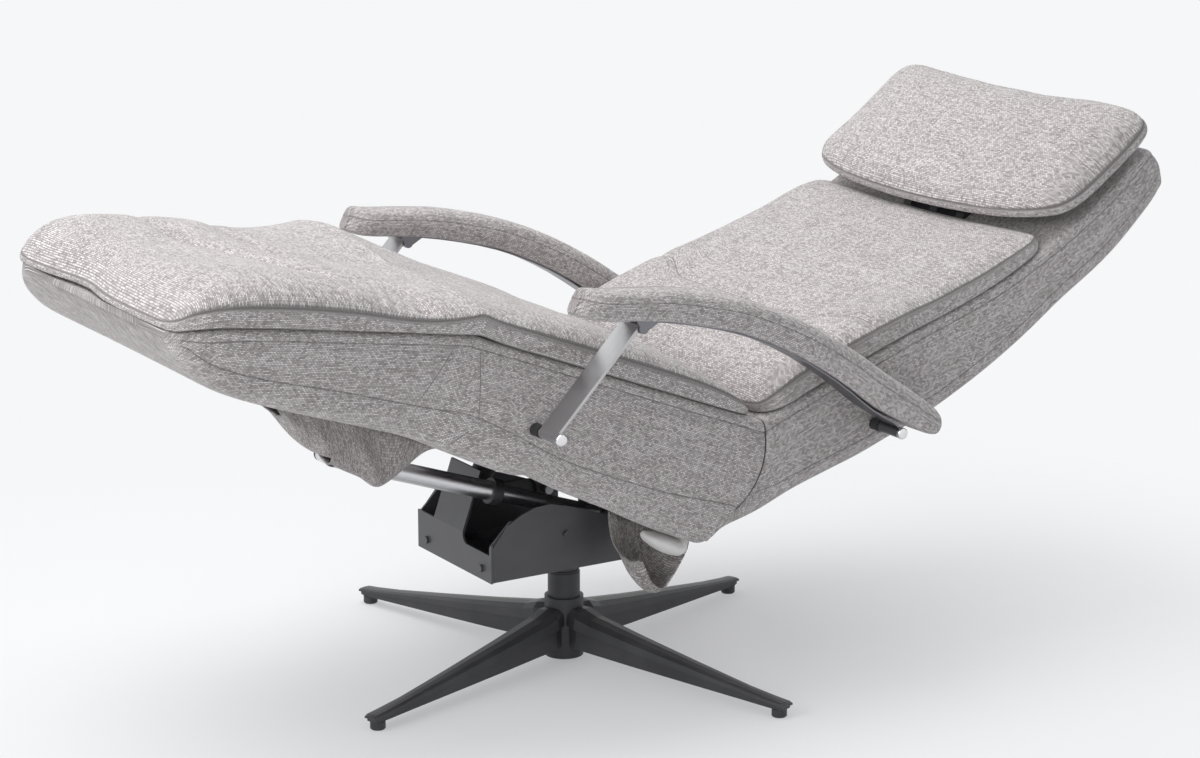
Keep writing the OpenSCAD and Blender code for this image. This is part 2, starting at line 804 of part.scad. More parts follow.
/* Leg rest */
// Shares of the leg rest's length and depth, of half the body's width, and the bow
leg_shell_shares = [
  [0.019, -0.09, 0.172, -0.99, 0.985, 0],
  [0.20, -0.018, 0.32, -0.905, 0.99, 0],
  [0.44, -0.004, 0.50, -0.81, 0.995, 0],
  [0.65, -0.002, 0.70, -0.69, 0.99, 0.005],
  [0.80, -0.028, 0.83, -0.585, 0.97, 0.015],
  [0.89, -0.10, 0.91, -0.49, 0.925, 0.035],
  [0.935, -0.16, 0.945, -0.38, 0.87, 0.05]
];
leg_arm_drop = 40;
leg_arm_end_u = 372;
leg_rear_tube_u = 100;
leg_front_tube_u = 325;
leg_rear_tube_drop = 74;
leg_front_tube_drop = 46;
leg_cross_u = [leg_rear_tube_u, leg_front_tube_u];
leg_cross_drop = [leg_rear_tube_drop, leg_front_tube_drop];
lug_slot_w = 42;
lug_slot_len = 70;

module leg_shell() {
  color(cloth) difference() {
    loft([for (r = smooth(leg_shell_shares, 3)) shell_ring([
      r[0] * leg_len, r[1] * leg_depth, r[2] * leg_len, r[3] * leg_depth,
      r[4] * body_w / 2, r[5] * leg_len
    ], "leg")]);
    slab(0, body_w - 2 * side_wall) polygon([
      leg_at(-leg_len / 4, -platform_t - pan_t / 2), leg_at(leg_arm_end_u + pan_t, -platform_t - pan_t / 2),
      leg_at(leg_arm_end_u + pan_t, -leg_depth * 0.44), leg_at(leg_arm_end_u * 0.74, -leg_depth * 0.52),
      leg_at(leg_len / 2, pan_t - leg_depth * 0.80), leg_at(leg_len / 6, pan_t - leg_depth * 0.96),
      leg_at(-leg_len / 4, -leg_depth)
    ]);
    slab(act_x, lug_slot_w) polygon([
      leg_at(leg_lug_u - lug_slot_len / 2, -leg_depth / 2),
      leg_at(leg_lug_u + lug_slot_len / 2, -leg_depth / 2),
      leg_at(leg_lug_u + lug_slot_len / 2, -2 * leg_depth),
      leg_at(leg_lug_u - lug_slot_len / 2, -2 * leg_depth)
    ]);
  }
}

lug_gap = 1;
stub_h = 0.5;

// Two arms on the knee hinge, two cross tubes and the lug for the actuator
module leg_frame() {
  tips = [for (i = [0, 1]) leg_at(leg_cross_u[i], -leg_cross_drop[i])];
  ear_in = tube_d / 2 + lug_gap;
  color(black) {
    difference() {
      at_both_sides(rail_x) slab(0, plate_t) {
        spot(leg_hinge, eye_r);
        bar(leg_hinge, tips[0], 2 * eye_r);
        bar(tips[0], tips[1], 2 * eye_r);
        bar(tips[1], leg_at(leg_arm_end_u - eye_r, -leg_arm_drop), 3 * eye_r / 2);
      }
      cross_pin(leg_hinge, 0, body_w, hinge_pin_d / 2 + running);
    }
    for (p = tips) cross_pin(p, 0, 2 * rail_x, cross_d / 2);
    for (side = [-1, 1]) {
      slab(act_x + side * (ear_in + ear_t / 2), ear_t) bar(tips[0], act_front, 2 * act_eye_r);
      cross_pin(act_front, act_x + side * (ear_in + ear_t / 2 - stub_h / 2), ear_t + stub_h, act_pin_d / 2);
    }
  }
}

// Shares of the length, of the boxing, of the crown, of the dish and of half the width,
// then the lean and the height of the underside as a share of the boxing
leg_pad_shares = [
  [0.001, 0.94, 0.30, 0, 0.99, -0.1, 0],
  [0.10, 0.70, 0.75, 0.20, 1, 0, 0],
  [0.24, 0.66, 0.98, 0.85, 1, 0, 0],
  [0.44, 0.92, 1.00, 1.00, 1, 0, 0.01],
  [0.62, 1, 1.05, 1.00, 1, 0, 0.01],
  [0.77, 0.98, 1.06, 0.80, 1, 0, 0],
  [0.88, 0.90, 0.92, 0.50, 0.985, 0, -0.09],
  [0.95, 0.76, 0.62, 0.20, 0.965, 0, -0.30],
  [0.99, 0.55, 0.30, 0, 0.93, 0, -0.50],
  [1.01, 0.30, 0.08, 0, 0.88, 0, -0.48]
];

module leg_pad() {
  color(cloth) loft([for (r = smooth(leg_pad_shares, 2)) pad_ring(
    [r[0] * leg_len, r[6] * boxing_h, r[1] * boxing_h, r[2] * pad_crown, r[3] * pad_dish,
      r[4] * pad_w / 2, r[5]], "leg", 0)]);
}

clip_d = 5;

// Small hooks that hold the cover under the front edge
module cover_clips() {
  color(steel) for (i = [0 : 2]) translate([body_w * (0.30 - 0.03 * i), 0, 0]) {
    y = -knee_ahead - 0.68 * leg_len + i * 4 * clip_d;
    p = [y, lookup(y, leg_under) - clip_d / 4 - seat_gap];
    slab(0, clip_d) bar(p, p + [0, -clip_d], clip_d / 2);
  }
}

/* Cloth at the knee and under the seat */
// The leg shell's rear face and the seat shell's front face, from the top down
leg_rear_face = [
  leg_at(leg_shell_shares[0][0] * leg_len, leg_shell_shares[0][1] * leg_depth),
  leg_at(leg_shell_shares[0][2] * leg_len, leg_shell_shares[0][3] * leg_depth)
];
seat_front_face = [
  seat_at(seat_shell_shares[0][0] * seat_len, seat_shell_shares[0][1] * seat_depth),
  seat_at(seat_shell_shares[0][2] * seat_len, seat_shell_shares[0][3] * seat_depth)
];
// Lower edges of the shells as seen from the side
leg_under = [for (r = smooth(leg_shell_shares, 3)) leg_at(r[2] * leg_len, r[3] * leg_depth)];
seat_under = [for (r = smooth(seat_shell_shares, 3)) seat_at(r[2] * seat_len, r[3] * seat_depth)];
gusset_t = 8;
gusset_seat_rings = 6;
// Low points of the knee cloth as shares of the seat's length and depth
gusset_low_shares = [[0.069, -0.838], [0.2515, -0.869]];
gusset_low = [for (p = gusset_low_shares) seat_at(p[0] * seat_len, p[1] * seat_depth)];

// Cloth between the leg rest and the seat: two side pieces and a sling below
module knee_gusset() {
  front = [for (p = leg_rear_face) p + [soft_gap, 0]];
  rear = [for (i = [gusset_seat_rings : -1 : 0]) seat_under[i] - [soft_gap, 0]];
  top = seat_front_face[0] - [soft_gap, 0];
  up = [0, gusset_t];
  lift_front = gusset_t * (front[0] - front[1]) / norm(front[0] - front[1]);
  lift_rear = rear[1] - rear[0] + up / 2;
  color(cloth) {
    at_both_sides(body_w / 2 - side_wall / 2) slab(0, side_wall - 2 * overrun)
      polygon(concat([front[0], front[1], gusset_low[0], gusset_low[1]], rear, [top]));
    slab(0, 2 * (rail_x - plate_t)) polygon([
      front[1], gusset_low[0], gusset_low[1], rear[0], rear[0] + [-gusset_t, gusset_t / 2],
      gusset_low[1] + up, gusset_low[0] + up, front[1] + lift_front
    ]);
  }
}

// Hanging cloth: a ring at y from the top edges down to the lowest point
cloth_t = 3;
function trough_ring(y, top, low, w, x) =
  [for (in = [0, cloth_t], k = [0 : 6])
    let (a = 30 * (in == 0 ? k : 6 - k))
      [x - (w - in) * cos(a), y, low + in + (top - low - in) * (1 - pow(sin(a), 0.6))]];

// Closed solid through rings that are each a bent strip: down one face, back the other
module strip_loft(rings) {
  n = len(rings[0]);
  m = len(rings);
  far = (m - 1) * n;
  cap = [for (j = [0 : n / 2 - 2], half = [0, 1])
    half == 0 ? [j, n - 2 - j, j + 1] : [j, n - 1 - j, n - 2 - j]];
  sides = [
    for (i = [0 : m - 2], j = [0 : n - 1], half = [0, 1])
      let (a = i * n + j, b = i * n + (j + 1) % n)
        half == 0 ? [a, b, b + n] : [a, b + n, a + n]
  ];
  polyhedron(
    points = [for (r = rings) each r],
    faces = concat(cap, sides, [for (f = cap) [far + f[0], far + f[2], far + f[1]]])
  );
}

// Underside of the leg rest and the knee as seen from the side
underside = concat(leg_under, gusset_low, [seat_under[gusset_seat_rings]]);

// Share of the flap's run, of its drop and of its half width
front_flap_shares = [
  [0, 0.03, 1],
  [0.09, 0.26, 0.99],
  [0.21, 0.55, 0.96],
  [0.30, 0.78, 0.9],
  [0.54, 0.74, 0.84],
  [0.71, 1, 0.8],
  [0.80, 0.72, 0.8],
  [0.90, 0.50, 0.82],
  [1, 0.26, 0.86]
];
front_flap_reach_share = 0.528;
front_flap_behind = 35;
front_flap_y = [-knee_ahead - front_flap_reach_share * leg_len, -knee_ahead + front_flap_behind];
front_flap_x = 110;
front_flap_w = 35;
front_flap_drop = 100;

module front_flap() {
  color(cloth_shade) strip_loft([for (r = smooth(front_flap_shares, 2))
    let (
      y = front_flap_y[0] + r[0] * (front_flap_y[1] - front_flap_y[0]),
      top = lookup(y, underside) - soft_gap
    )
    trough_ring(y, top, top - cloth_t - r[1] * front_flap_drop, r[2] * front_flap_w, front_flap_x)]);
}

rear_flap_shares = [
  [0, 0.70, 1],
  [0.15, 0.9, 0.97],
  [0.4, 0.98, 0.9],
  [0.65, 0.84, 0.92],
  [0.85, 0.60, 0.97],
  [1, 0.34, 1]
];
rear_flap_start = -15;
rear_flap_end = 52;
rear_flap_y = [rear_flap_start, rear_flap_end];
rear_flap_w = 62;
rear_flap_drop = 104;
rear_flap_x = 205;

module rear_flap() {
  color(cloth_shade) strip_loft([for (r = smooth(rear_flap_shares, 2))
    let (
      y = rear_flap_y[0] + r[0] * (rear_flap_y[1] - rear_flap_y[0]),
      top = lookup(y, seat_under) - soft_gap
    )
    trough_ring(y, top, top - cloth_t - r[1] * rear_flap_drop, r[2] * rear_flap_w, rear_flap_x)]);
}

/* Back */
back_shell_shares = [
  [-0.190, -1.00, -0.190, -1.10, 0.94],
  [-0.150, -0.42, -0.140, -1.09, 0.98],
  [-0.080, -0.06, -0.080, -1.14, 1],
  [0.0, -0.03, 0.0, -1.18, 1],
  [0.09, -0.07, 0.09, -1.27, 1],
  [0.18, -0.12, 0.18, -1.36, 1],
  [0.34, -0.22, 0.35, -1.44, 1],
  [0.52, -0.36, 0.53, -1.38, 1],
  [0.66, -0.36, 0.67, -1.22, 1],
  [0.80, -0.27, 0.81, -1.09, 0.995],
  [0.90, -0.14, 0.93, -0.86, 0.985],
  [0.965, -0.03, 0.99, -0.70, 0.96],
  [0.985, -0.10, 1.002, -0.50, 0.92]
];
back_cavity_u = 560;
back_bay_u = -95;
rail_low_u = -57;
rail_drop = 87;
rail_top_u = 545;
back_low_tube_u = 96;
back_high_tube_u = 500;
back_low_tube_drop = 95;
back_high_tube_drop = 87;
back_cross_u = [back_low_tube_u, back_high_tube_u];
back_cross_drop = [back_low_tube_drop, back_high_tube_drop];
recline_lever = 70;
recline_lever_turn = 250;
recline_x = -165;

module back_shell() {
  color(cloth) difference() {
    loft([for (r = smooth(back_shell_shares, 2)) shell_ring([
      r[0] * back_len, r[1] * back_depth, r[2] * back_len, r[3] * back_depth,
      r[4] * body_w / 2, 0
    ], "back")]);
    slab(0, body_w - 2 * side_wall) polygon([
      back_at(-back_len / 4, -platform_t * 1.6), back_at(0, -platform_t * 1.3),
      back_at(back_len * 0.18, -platform_t - back_depth * 0.14),
      back_at(back_len * 0.34, -platform_t - back_depth * 0.24),
      back_at(back_len * 0.52, -platform_t - back_depth * 0.38),
      back_at(back_cavity_u, -platform_t - back_depth * 0.39),
      back_at(back_cavity_u, pan_t - back_depth * 1.32),
      back_at(back_len * 0.35, pan_t - back_depth * 1.42),
      back_at(back_len * 0.18, pan_t - back_depth * 1.34), back_at(0, pan_t - back_depth * 1.16),
      back_at(-back_len / 4, pan_t - back_depth * 1.08)
    ]);
    slab(0, body_w + 2 * overrun) seat_tail(tail_gap);
    slab(0, bay_w) polygon([
      back_at(-back_len / 2, -back_depth / 2), back_at(back_bay_u, -back_depth / 2),
      back_at(back_bay_u, -2 * back_depth), back_at(-back_len / 2, -2 * back_depth)
    ]);
    at_both_sides(body_w / 2) cross_pin(arm_pin, 0, 3 * side_wall, strut_pin_d / 2 + seat_gap);
  }
}

// Side rails from the hinge up inside the back, joined by two cross tubes
module back_frame() {
  low = back_at(rail_low_u, -rail_drop);
  mids = [for (i = [0, 1]) back_at(back_cross_u[i], -back_cross_drop[i])];
  top = back_at(rail_top_u, -rail_drop);
  color(black) {
    difference() {
      at_both_sides(rail_x) slab(0, plate_t) {
        spot(back_hinge, 1.5 * eye_r);
        bar(back_hinge, low, 2 * eye_r);
        bar(low, mids[0], 2 * eye_r);
        bar(mids[0], mids[1], 2 * eye_r);
        bar(mids[1], top, 2 * eye_r);
        bar(arm_pin, back_at(arm_pin_u, -rail_drop), 2 * eye_r);
      }
      cross_pin(back_hinge, 0, body_w, hinge_pin_d / 2 + running);
      cross_pin(arm_pin, 0, body_w, strut_pin_d / 2);
    }
    for (p = mids) cross_pin(p, 0, 2 * rail_x, cross_d / 2);
    difference() {
      cross_pin(back_hinge, 0, 2 * rail_x, cross_d / 2);
      cross_pin(back_hinge, 0, body_w, hinge_pin_d / 2 + running);
    }
    for (side = [-1, 1]) slab(recline_x + side * small_ear_x, ear_t) difference() {
      bar(back_hinge, recline_high, 2 * small_eye_r);
      spot(back_hinge, cross_d / 2 - running);
    }
    cross_pin(recline_high, recline_x, 2 * small_ear_x + ear_t, act_pin_d / 2);
  }
}

// Share of the back's length, rear face as a share of its depth, boxing and crown of
// the pad's thickness, half width share, bow of the middle as a share of the length
back_pad_shares = [
  [0.006, -0.02, 0.34, 0.30, 0.985, 0],
  [0.045, -0.035, 0.56, 0.36, 1, 0],
  [0.11, -0.06, 0.64, 0.40, 1, 0],
  [0.22, -0.14, 0.62, 0.34, 1, 0],
  [0.36, -0.23, 0.56, 0.34, 1, 0],
  [0.52, -0.34, 0.50, 0.30, 1, 0],
  [0.62, -0.345, 0.44, 0.16, 0.998, -0.03],
  [0.672, -0.34, 0.36, 0.06, 0.985, -0.045],
  [0.69, -0.30, 0.20, 0.02, 0.96, -0.05]
];

module back_pad() {
  color(cloth) loft([for (r = smooth(back_pad_shares, 2)) pad_ring(
    [r[0] * back_len, r[1] * back_depth + seat_gap, r[2] * back_pad_t, r[3] * back_pad_t, 0,
      r[4] * back_pad_w / 2, 0], "back", r[5] * back_len)]);
}

/* Headrest */
pillow_start_share = 0.695;
pillow_start = pillow_start_share * back_len;
pillow_bow = 40;
// Place of the hinge from the pillow's lower edge
head_hinge_in = 11;
head_hinge_u = pillow_start + head_hinge_in;
head_hinge_over = 11;
head_hinge_d = 8;
head_hinge_w = 150;
head_plate_t = 4;
head_plate_w = 26;
head_foot_t = 2.5;
head_foot_len = 26;
knuckle_r = 7;
knuckle_w = 18;
// Front face of the back shell as the pillow's hinge stands on it
back_face = [for (r = smooth(back_shell_shares, 2)) [r[0] * back_len, r[1] * back_depth]];
head_hinge = back_at(head_hinge_u, lookup(head_hinge_u, back_face) + head_hinge_over);

module headrest_hinge() {
  foot_u = [head_hinge_u - head_foot_len / 2, head_hinge_u + head_foot_len / 2];
  foot = [for (u = foot_u) back_at(u, lookup(u, back_face) + seat_gap)];
  lift = back_at(0, head_foot_t) - back_at(0, 0);
  color(black) {
    cross_pin(head_hinge, 0, head_hinge_w, head_hinge_d / 2);
    slab(0, head_hinge_w) polygon([foot[0], foot[1], foot[1] + lift, foot[0] + lift]);
    for (side = [-1, 0, 1]) slab(side * (head_hinge_w - knuckle_w) / 2, knuckle_w) {
      spot(head_hinge, knuckle_r);
      polygon([foot[0] + lift / 2, foot[1] + lift / 2, head_hinge + lift, head_hinge + lift / 2]);
    }
  }
}

// Two arms that follow the back of the pillow from the hinge
module headrest_plate() {
  rows = [for (r = smooth(pillow_shares, 2)) if (r[0] > 0.2 && r[0] < 0.8) r];
  function under(r, drop) =
    back_at(pillow_start + r[0] * pillow_len - pillow_bow, r[1] * pillow_t - soft_gap - drop);
  color(black) difference() {
    for (side = [-1, 1]) slab(side * head_hinge_w / 4, head_plate_w) {
      spot(head_hinge, knuckle_r);
      bar(head_hinge, under(rows[0], head_plate_t / 2 + soft_gap), head_plate_t);
      polygon(concat([for (r = rows) under(r, 0)],
        [for (i = [len(rows) - 1 : -1 : 0]) under(rows[i], head_plate_t)]));
    }
    cross_pin(head_hinge, 0, body_w, head_hinge_d / 2 + running);
  }
}

// Share of the pillow's length, rear face and thickness as shares of its thickness,
// half width share
pillow_shares = [
  [0, 0.02, 0.16, 0.93],
  [0.03, -0.14, 0.46, 0.975],
  [0.12, -0.26, 0.78, 1],
  [0.30, -0.22, 0.96, 1],
  [0.55, -0.06, 0.98, 1],
  [0.78, 0.14, 0.84, 1],
  [0.92, 0.36, 0.52, 0.99],
  [0.985, 0.52, 0.24, 0.96],
  [1, 0.60, 0.10, 0.93]
];

pillow_seam_share = 0.45;
pillow_power = 3.2;
// Both faces swell, and the ends turn up towards the head
function pillow_ring(row) =
  let (
    u = pillow_start + row[0] * pillow_len, v = row[1] * pillow_t, t = row[2] * pillow_t,
    w = row[3] * pillow_w / 2, n = pad_columns, seam = v + pillow_seam_share * t,
    front = [for (i = [0 : n]) let (s = 1 - 2 * i / n)
      [w * s, seam + (1 - pillow_seam_share) * t * sqrt(1 - pow(abs(s), pillow_power))]],
    rear = [for (i = [1 : n - 1]) let (s = -1 + 2 * i / n)
      [w * s, seam - pillow_seam_share * t * sqrt(1 - pow(abs(s), pillow_power))]]
  )
  [for (q = concat(front, rear))
    let (p = back_at(u - pillow_bow * (1 - pow(q[0] / (pillow_w / 2), 2)), q[1]))
    [q[0], p[0], p[1]]];

module headrest_pillow() {
  color(cloth) loft([for (r = smooth(pillow_shares, 2)) pillow_ring(r)]);
}

/* Armrests and struts */
arm_reach = norm(strut_head - arm_pin);
arm_dir = (strut_head - arm_pin) / arm_reach;
function arm_at(a, b) = arm_pin + a * arm_dir + b * [arm_dir[1], -arm_dir[0]];
// Shares of the distance between the pins: along, up to the centre, half thickness
arm_shares = [
  [1.214, -0.036, 0.018],
  [1.200, -0.024, 0.036],
  [1.155, 0.008, 0.047],
  [1.088, 0.046, 0.050],
  [0.890, 0.104, 0.050],
  [0.681, 0.139, 0.048],
  [0.478, 0.145, 0.050],
  [0.286, 0.126, 0.056],
  [0.124, 0.095, 0.062],
  [0.0, 0.080, 0.058],
  [-0.083, 0.070, 0.051],
  [-0.115, 0.066, 0.042],
  [-0.128, 0.064, 0.022]
];
// Section of the pad as shares of its half width and half thickness
arm_section_shares = [
  [1, 0.1], [0.97, 0.66], [0.78, 0.95], [0, 1], [-0.78, 0.95], [-0.97, 0.66],
  [-1, 0.1], [-0.97, -0.72], [-0.82, -0.96], [0, -1], [0.82, -0.96], [0.97, -0.72]
];
arm_end_share = 0.45;
arm_full_t = 22;
function arm_ring(row, x) =
  let (
    t = row[2] * arm_reach,
    w = arm_w / 2 * min(1, arm_end_share + (1 - arm_end_share) * t / arm_full_t)
  )
  [for (q = arm_section_shares) let (p = arm_at(row[0] * arm_reach, row[1] * arm_reach + t * q[1]))
    [x + q[0] * w, p[0], p[1]]];

module arm_pad(x) {
  color(cloth) loft([for (r = smooth(arm_shares, 3)) arm_ring(r, x)]);
}

eye_wall = 3;
strip_front_share = 1.07;
strip_rear_share = 0.02;
ear_t_thin = 3;
strip_t = 2;
strip_wide = strut_w + 2 * spacer_gap + 2 * ear_t_thin;
// Steel strip under the pad: an eye on the arm pin, two ears on the open pivot
module arm_strip(x) {
  rows = [for (r = smooth(arm_shares, 3)) if (r[0] < strip_front_share && r[0] > strip_rear_share) r];
  function edge(r, drop) = arm_at(r[0] * arm_reach, (r[1] - r[2]) * arm_reach - seat_gap - drop);
  near = [for (r = rows) if (abs(r[0] - 1) < 0.06) r];
  function strap(part) = concat([for (r = part) edge(r, 0)],
    [for (i = [len(part) - 1 : -1 : 0]) edge(part[i], strip_t)]);
  back_end = edge(rows[len(rows) - 1], strip_t / 2);
  ear_x = strip_wide / 2 - ear_t_thin / 2;
  color(grey_steel) difference() {
    union() {
      slab(x, strut_w) {
        polygon(strap(rows));
        spot(arm_pin, strut_pin_d / 2 + eye_wall);
        bar(arm_pin + [0, strut_pin_d / 2 + eye_wall / 2], back_end, eye_wall);
      }
      slab(x, strip_wide) polygon(strap(near));
      for (side = [-1, 1]) slab(x + side * ear_x, ear_t_thin) {
        spot(strut_head, open_eye_r - seat_gap);
        polygon(concat(
          [for (r = near) edge(r, strip_t / 2)],
          [arm_at(arm_reach - open_eye_r + seat_gap, 0), arm_at(arm_reach + open_eye_r - seat_gap, 0)]
        ));
      }
      cross_pin(strut_head, x, strip_wide, open_pin_r);
    }
    cross_pin(arm_pin, x, 2 * arm_w, strut_pin_d / 2 + running);
  }
}

open_pin_r = 2.6;
open_eye_r = 7.6;

// Front strut: a flat strip rolled round a pin at each end
module front_strut(x) {
  strut_dir = [cos(strut_lean), sin(strut_lean)];
  out = [-strut_dir[1], strut_dir[0]];
  foot_r0 = strut_pin_d / 2 + eye_wall;
  inset = strut_t / 2 + seat_gap;
  color(steel) difference() {
    slab(x, strut_w) {
      spot(strut_foot, foot_r0);
      spot(strut_head, open_eye_r);
      bar(strut_foot + out * (foot_r0 - inset), strut_head + out * (open_eye_r - inset), strut_t);
    }
    cross_pin(strut_foot, x, 2 * strut_w, strut_pin_d / 2 + running);
    cross_pin(strut_head, x, 2 * strut_w, open_pin_r + open_pivot);
  }
}

/* Tilt and recline actuators */
tilt_act_x = -58;
tilt_low_y = -158;
tilt_low_z = 206;
tilt_high_y = -62;
tilt_high_z = 352;
tilt_low = [tilt_low_y, tilt_low_z];
tilt_high = [tilt_high_y, tilt_high_z];
small_body_d = 34;
small_rod_d = 14;
small_eye_r = 10;
small_eye_t = 14;
small_ear_x = small_eye_t / 2 + ear_gap + ear_t / 2;
small_play = 2;
// Share of the distance between the pins that the body takes
tilt_body_share = 0.62;
recline_body_share = 0.72;
tilt_rod_start = 72;
recline_rod_start = 40;

module small_motor(low, high, x, share) {
  dir = (high - low) / norm(high - low);
  end = low + dir * share * norm(high - low);
  color(black) difference() {
    union() {
      rod(low + dir * 3 * small_eye_r / 2, end, x, small_body_d / 2);
      slab(x, small_eye_t) bar(low, low + dir * 2 * small_eye_r, 2 * small_eye_r);
    }
    rod(low + dir * 3 * small_eye_r, end + dir * overrun, x, small_rod_d / 2 + running);
    cross_pin(low, x, 2 * small_body_d, act_pin_d / 2 + running);
  }
}

module small_rod(low, high, x, start) {
  dir = (high - low) / norm(high - low);
  color(silver) difference() {
    union() {
      rod(low + dir * start, high - dir * small_eye_r / 2, x, small_rod_d / 2);
      cross_pin(high, x, small_rod_d, small_eye_r);
    }
    cross_pin(high, x, 2 * small_rod_d, act_pin_d / 2 + small_play);
  }
}

module tilt_motor() {
  small_motor(tilt_low, tilt_high, tilt_act_x, tilt_body_share);
}

module tilt_rod() {
  small_rod(tilt_low, tilt_high, tilt_act_x, tilt_rod_start);
}

recline_foot_u = 150;
recline_foot_drop = 88;
recline_low = seat_at(recline_foot_u, -recline_foot_drop);
recline_high = back_hinge + recline_lever * [cos(recline_lever_turn), sin(recline_lever_turn)];

module recline_motor() {
  small_motor(recline_low, recline_high, recline_x, recline_body_share);
}

module recline_rod() {
  small_rod(recline_low, recline_high, recline_x, recline_rod_start);
}

base_star();
glides();
column_tube();
column_bush();
turning_post();
post_plate();
box_channel();
box_front_plate();
box_side_plates();
box_screws();
tilt_pins();
tilt_ears();
seat_frame_plates();
seat_cross_tubes();
tilt_brackets();
motor_bracket();
actuator_lugs();
seat_shell();
seat_pad();
knee_gusset();
rear_flap();
leg_hinge_pins();
back_hinge_pins();
strut_pins();
strut_spacers();
strut_caps();
actuator_motor();
actuator_inner_tube();
actuator_outer_tube();
actuator_collar();
leg_frame();
leg_shell();
leg_pad();
front_flap();
cover_clips();
back_frame();
back_shell();
back_pad();
arm_pins();
arm_spacers();
arm_caps();
headrest_hinge();
headrest_plate();
headrest_pillow();
arm_strip(arm_x);  // arm_strip_left
arm_pad(arm_x);  // arm_pad_left
arm_strip(-arm_x);  // arm_strip_right
arm_pad(-arm_x);  // arm_pad_right
front_strut(arm_x);  // front_strut_left
front_strut(-arm_x);  // front_strut_right
tilt_motor();
tilt_rod();
recline_motor();
recline_rod();
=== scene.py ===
"""The looks of a star base swivel recliner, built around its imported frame.

Metres, +Z up, the leg rest points to -Y and +X is the sitter's left.
"""
import json
from math import asin, copysign, cos, dist, exp, hypot, pi, radians, sin, sqrt
import bpy
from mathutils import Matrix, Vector, noise
from mathutils.bvhtree import BVHTree


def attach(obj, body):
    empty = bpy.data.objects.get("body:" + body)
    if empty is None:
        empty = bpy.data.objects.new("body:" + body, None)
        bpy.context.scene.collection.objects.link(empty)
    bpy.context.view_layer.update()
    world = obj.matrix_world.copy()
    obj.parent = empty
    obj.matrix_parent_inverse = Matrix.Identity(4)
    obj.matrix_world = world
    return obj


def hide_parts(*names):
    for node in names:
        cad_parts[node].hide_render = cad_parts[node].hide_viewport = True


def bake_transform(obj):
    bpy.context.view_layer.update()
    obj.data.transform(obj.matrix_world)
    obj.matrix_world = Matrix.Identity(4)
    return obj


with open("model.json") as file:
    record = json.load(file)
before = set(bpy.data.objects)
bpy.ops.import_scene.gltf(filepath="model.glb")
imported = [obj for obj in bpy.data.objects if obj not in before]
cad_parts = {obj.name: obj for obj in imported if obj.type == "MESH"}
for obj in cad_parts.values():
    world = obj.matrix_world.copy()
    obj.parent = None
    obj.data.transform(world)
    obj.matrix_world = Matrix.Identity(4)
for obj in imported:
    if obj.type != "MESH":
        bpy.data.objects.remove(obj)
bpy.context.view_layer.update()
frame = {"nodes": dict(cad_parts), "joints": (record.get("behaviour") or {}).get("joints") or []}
nodes = frame["nodes"]

# Posture and lengths of the upholstery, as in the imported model
KNEE = Vector((-0.303, 0.588))
SEAT_FALL = radians(21.2)
LEG_RISE = radians(8.6)
BACK_RISE = radians(24.8)
SEAT_LEN, BACK_LEN = 0.493, 0.79
SEAT_DEPTH, BACK_DEPTH = 0.198, 0.112
BODY_HALF, PAD_HALF = 0.29, 0.293
# Walls round the hollow of a cover: at its sides, under its top and at its bottom
SIDE_WALL, PLATFORM, PAN = 0.04, 0.018, 0.012
# Round rear end of the seat about the back hinge, and the gap to the back that turns on it
TAIL_RADIUS, TAIL_GAP = 0.119, 0.0015
BACK_HINGE_U, BACK_HINGE_DROP = 0.395, 0.07
SIDES = (("left", 1), ("right", -1))
UP = Vector((0, 0, 1))


def turned(u, v, angle):
    """Y and Z of a point u, v in a frame that is turned by an angle."""
    c, s = cos(angle), sin(angle)
    return Vector((u * c - v * s, u * s + v * c))


def leg_at(u, v):
    """Point of the side view, u from the knee to the feet and v out of the leg rest."""
    return KNEE + turned(-u, v, -LEG_RISE)


def seat_at(u, v):
    """Point of the side view, u from the knee to the back and v out of the seat."""
    return KNEE + turned(u, v, -SEAT_FALL)


CREASE = seat_at(SEAT_LEN, 0)


def back_at(u, v):
    """Point of the side view, u from the crease to the head and v out of the back."""
    return CREASE + turned(u, v, BACK_RISE)


def side_point(x, yz):
    return Vector((x, yz[0], yz[1]))


KNEE_HINGE = Vector(next(j for j in frame["joints"] if j["name"] == "leg_lift")["pos_m"][1:])


# Numbers along a line


def ramp(value, low, high):
    """0 before low, 1 after high and a smooth step between."""
    t = min(1.0, max(0.0, (value - low) / (high - low)))
    return t * t * (3 - 2 * t)


def bell(value, centre, width):
    return exp(-(((value - centre) / width) ** 2))


def level(*_):
    """No shift, whatever the place."""
    return 0.0


def track(points):
    """Smooth function through (position, value, value ...) rows."""
    xs = [p[0] for p in points]

    def slope(i, k):
        if i == 0 or i == len(points) - 1:
            return 0.0
        return (points[i + 1][k] - points[i - 1][k]) / (xs[i + 1] - xs[i - 1])

    def at(x):
        x = min(max(x, xs[0]), xs[-1])
        i = max(j for j in range(len(xs) - 1) if xs[j] <= x)
        step = xs[i + 1] - xs[i]
        t = (x - xs[i]) / step
        found = []
        for k in range(1, len(points[0])):
            a, b = points[i][k], points[i + 1][k]
            ma, mb = slope(i, k) * step, slope(i + 1, k) * step
            found.append(
                (2 * t**3 - 3 * t**2 + 1) * a + (t**3 - 2 * t**2 + t) * ma
                + (3 * t**2 - 2 * t**3) * b + (t**3 - t**2) * mb
            )
        return found if len(found) > 1 else found[0]

    return at


def smooth_rows(rows, steps):
    """Curve through rows of numbers, with that many steps from each row to the next."""
    path = track([(i, *row) for i, row in enumerate(rows)])
    count = (len(rows) - 1) * steps
    return [path(i / steps) for i in range(count + 1)]


# Shader node groups

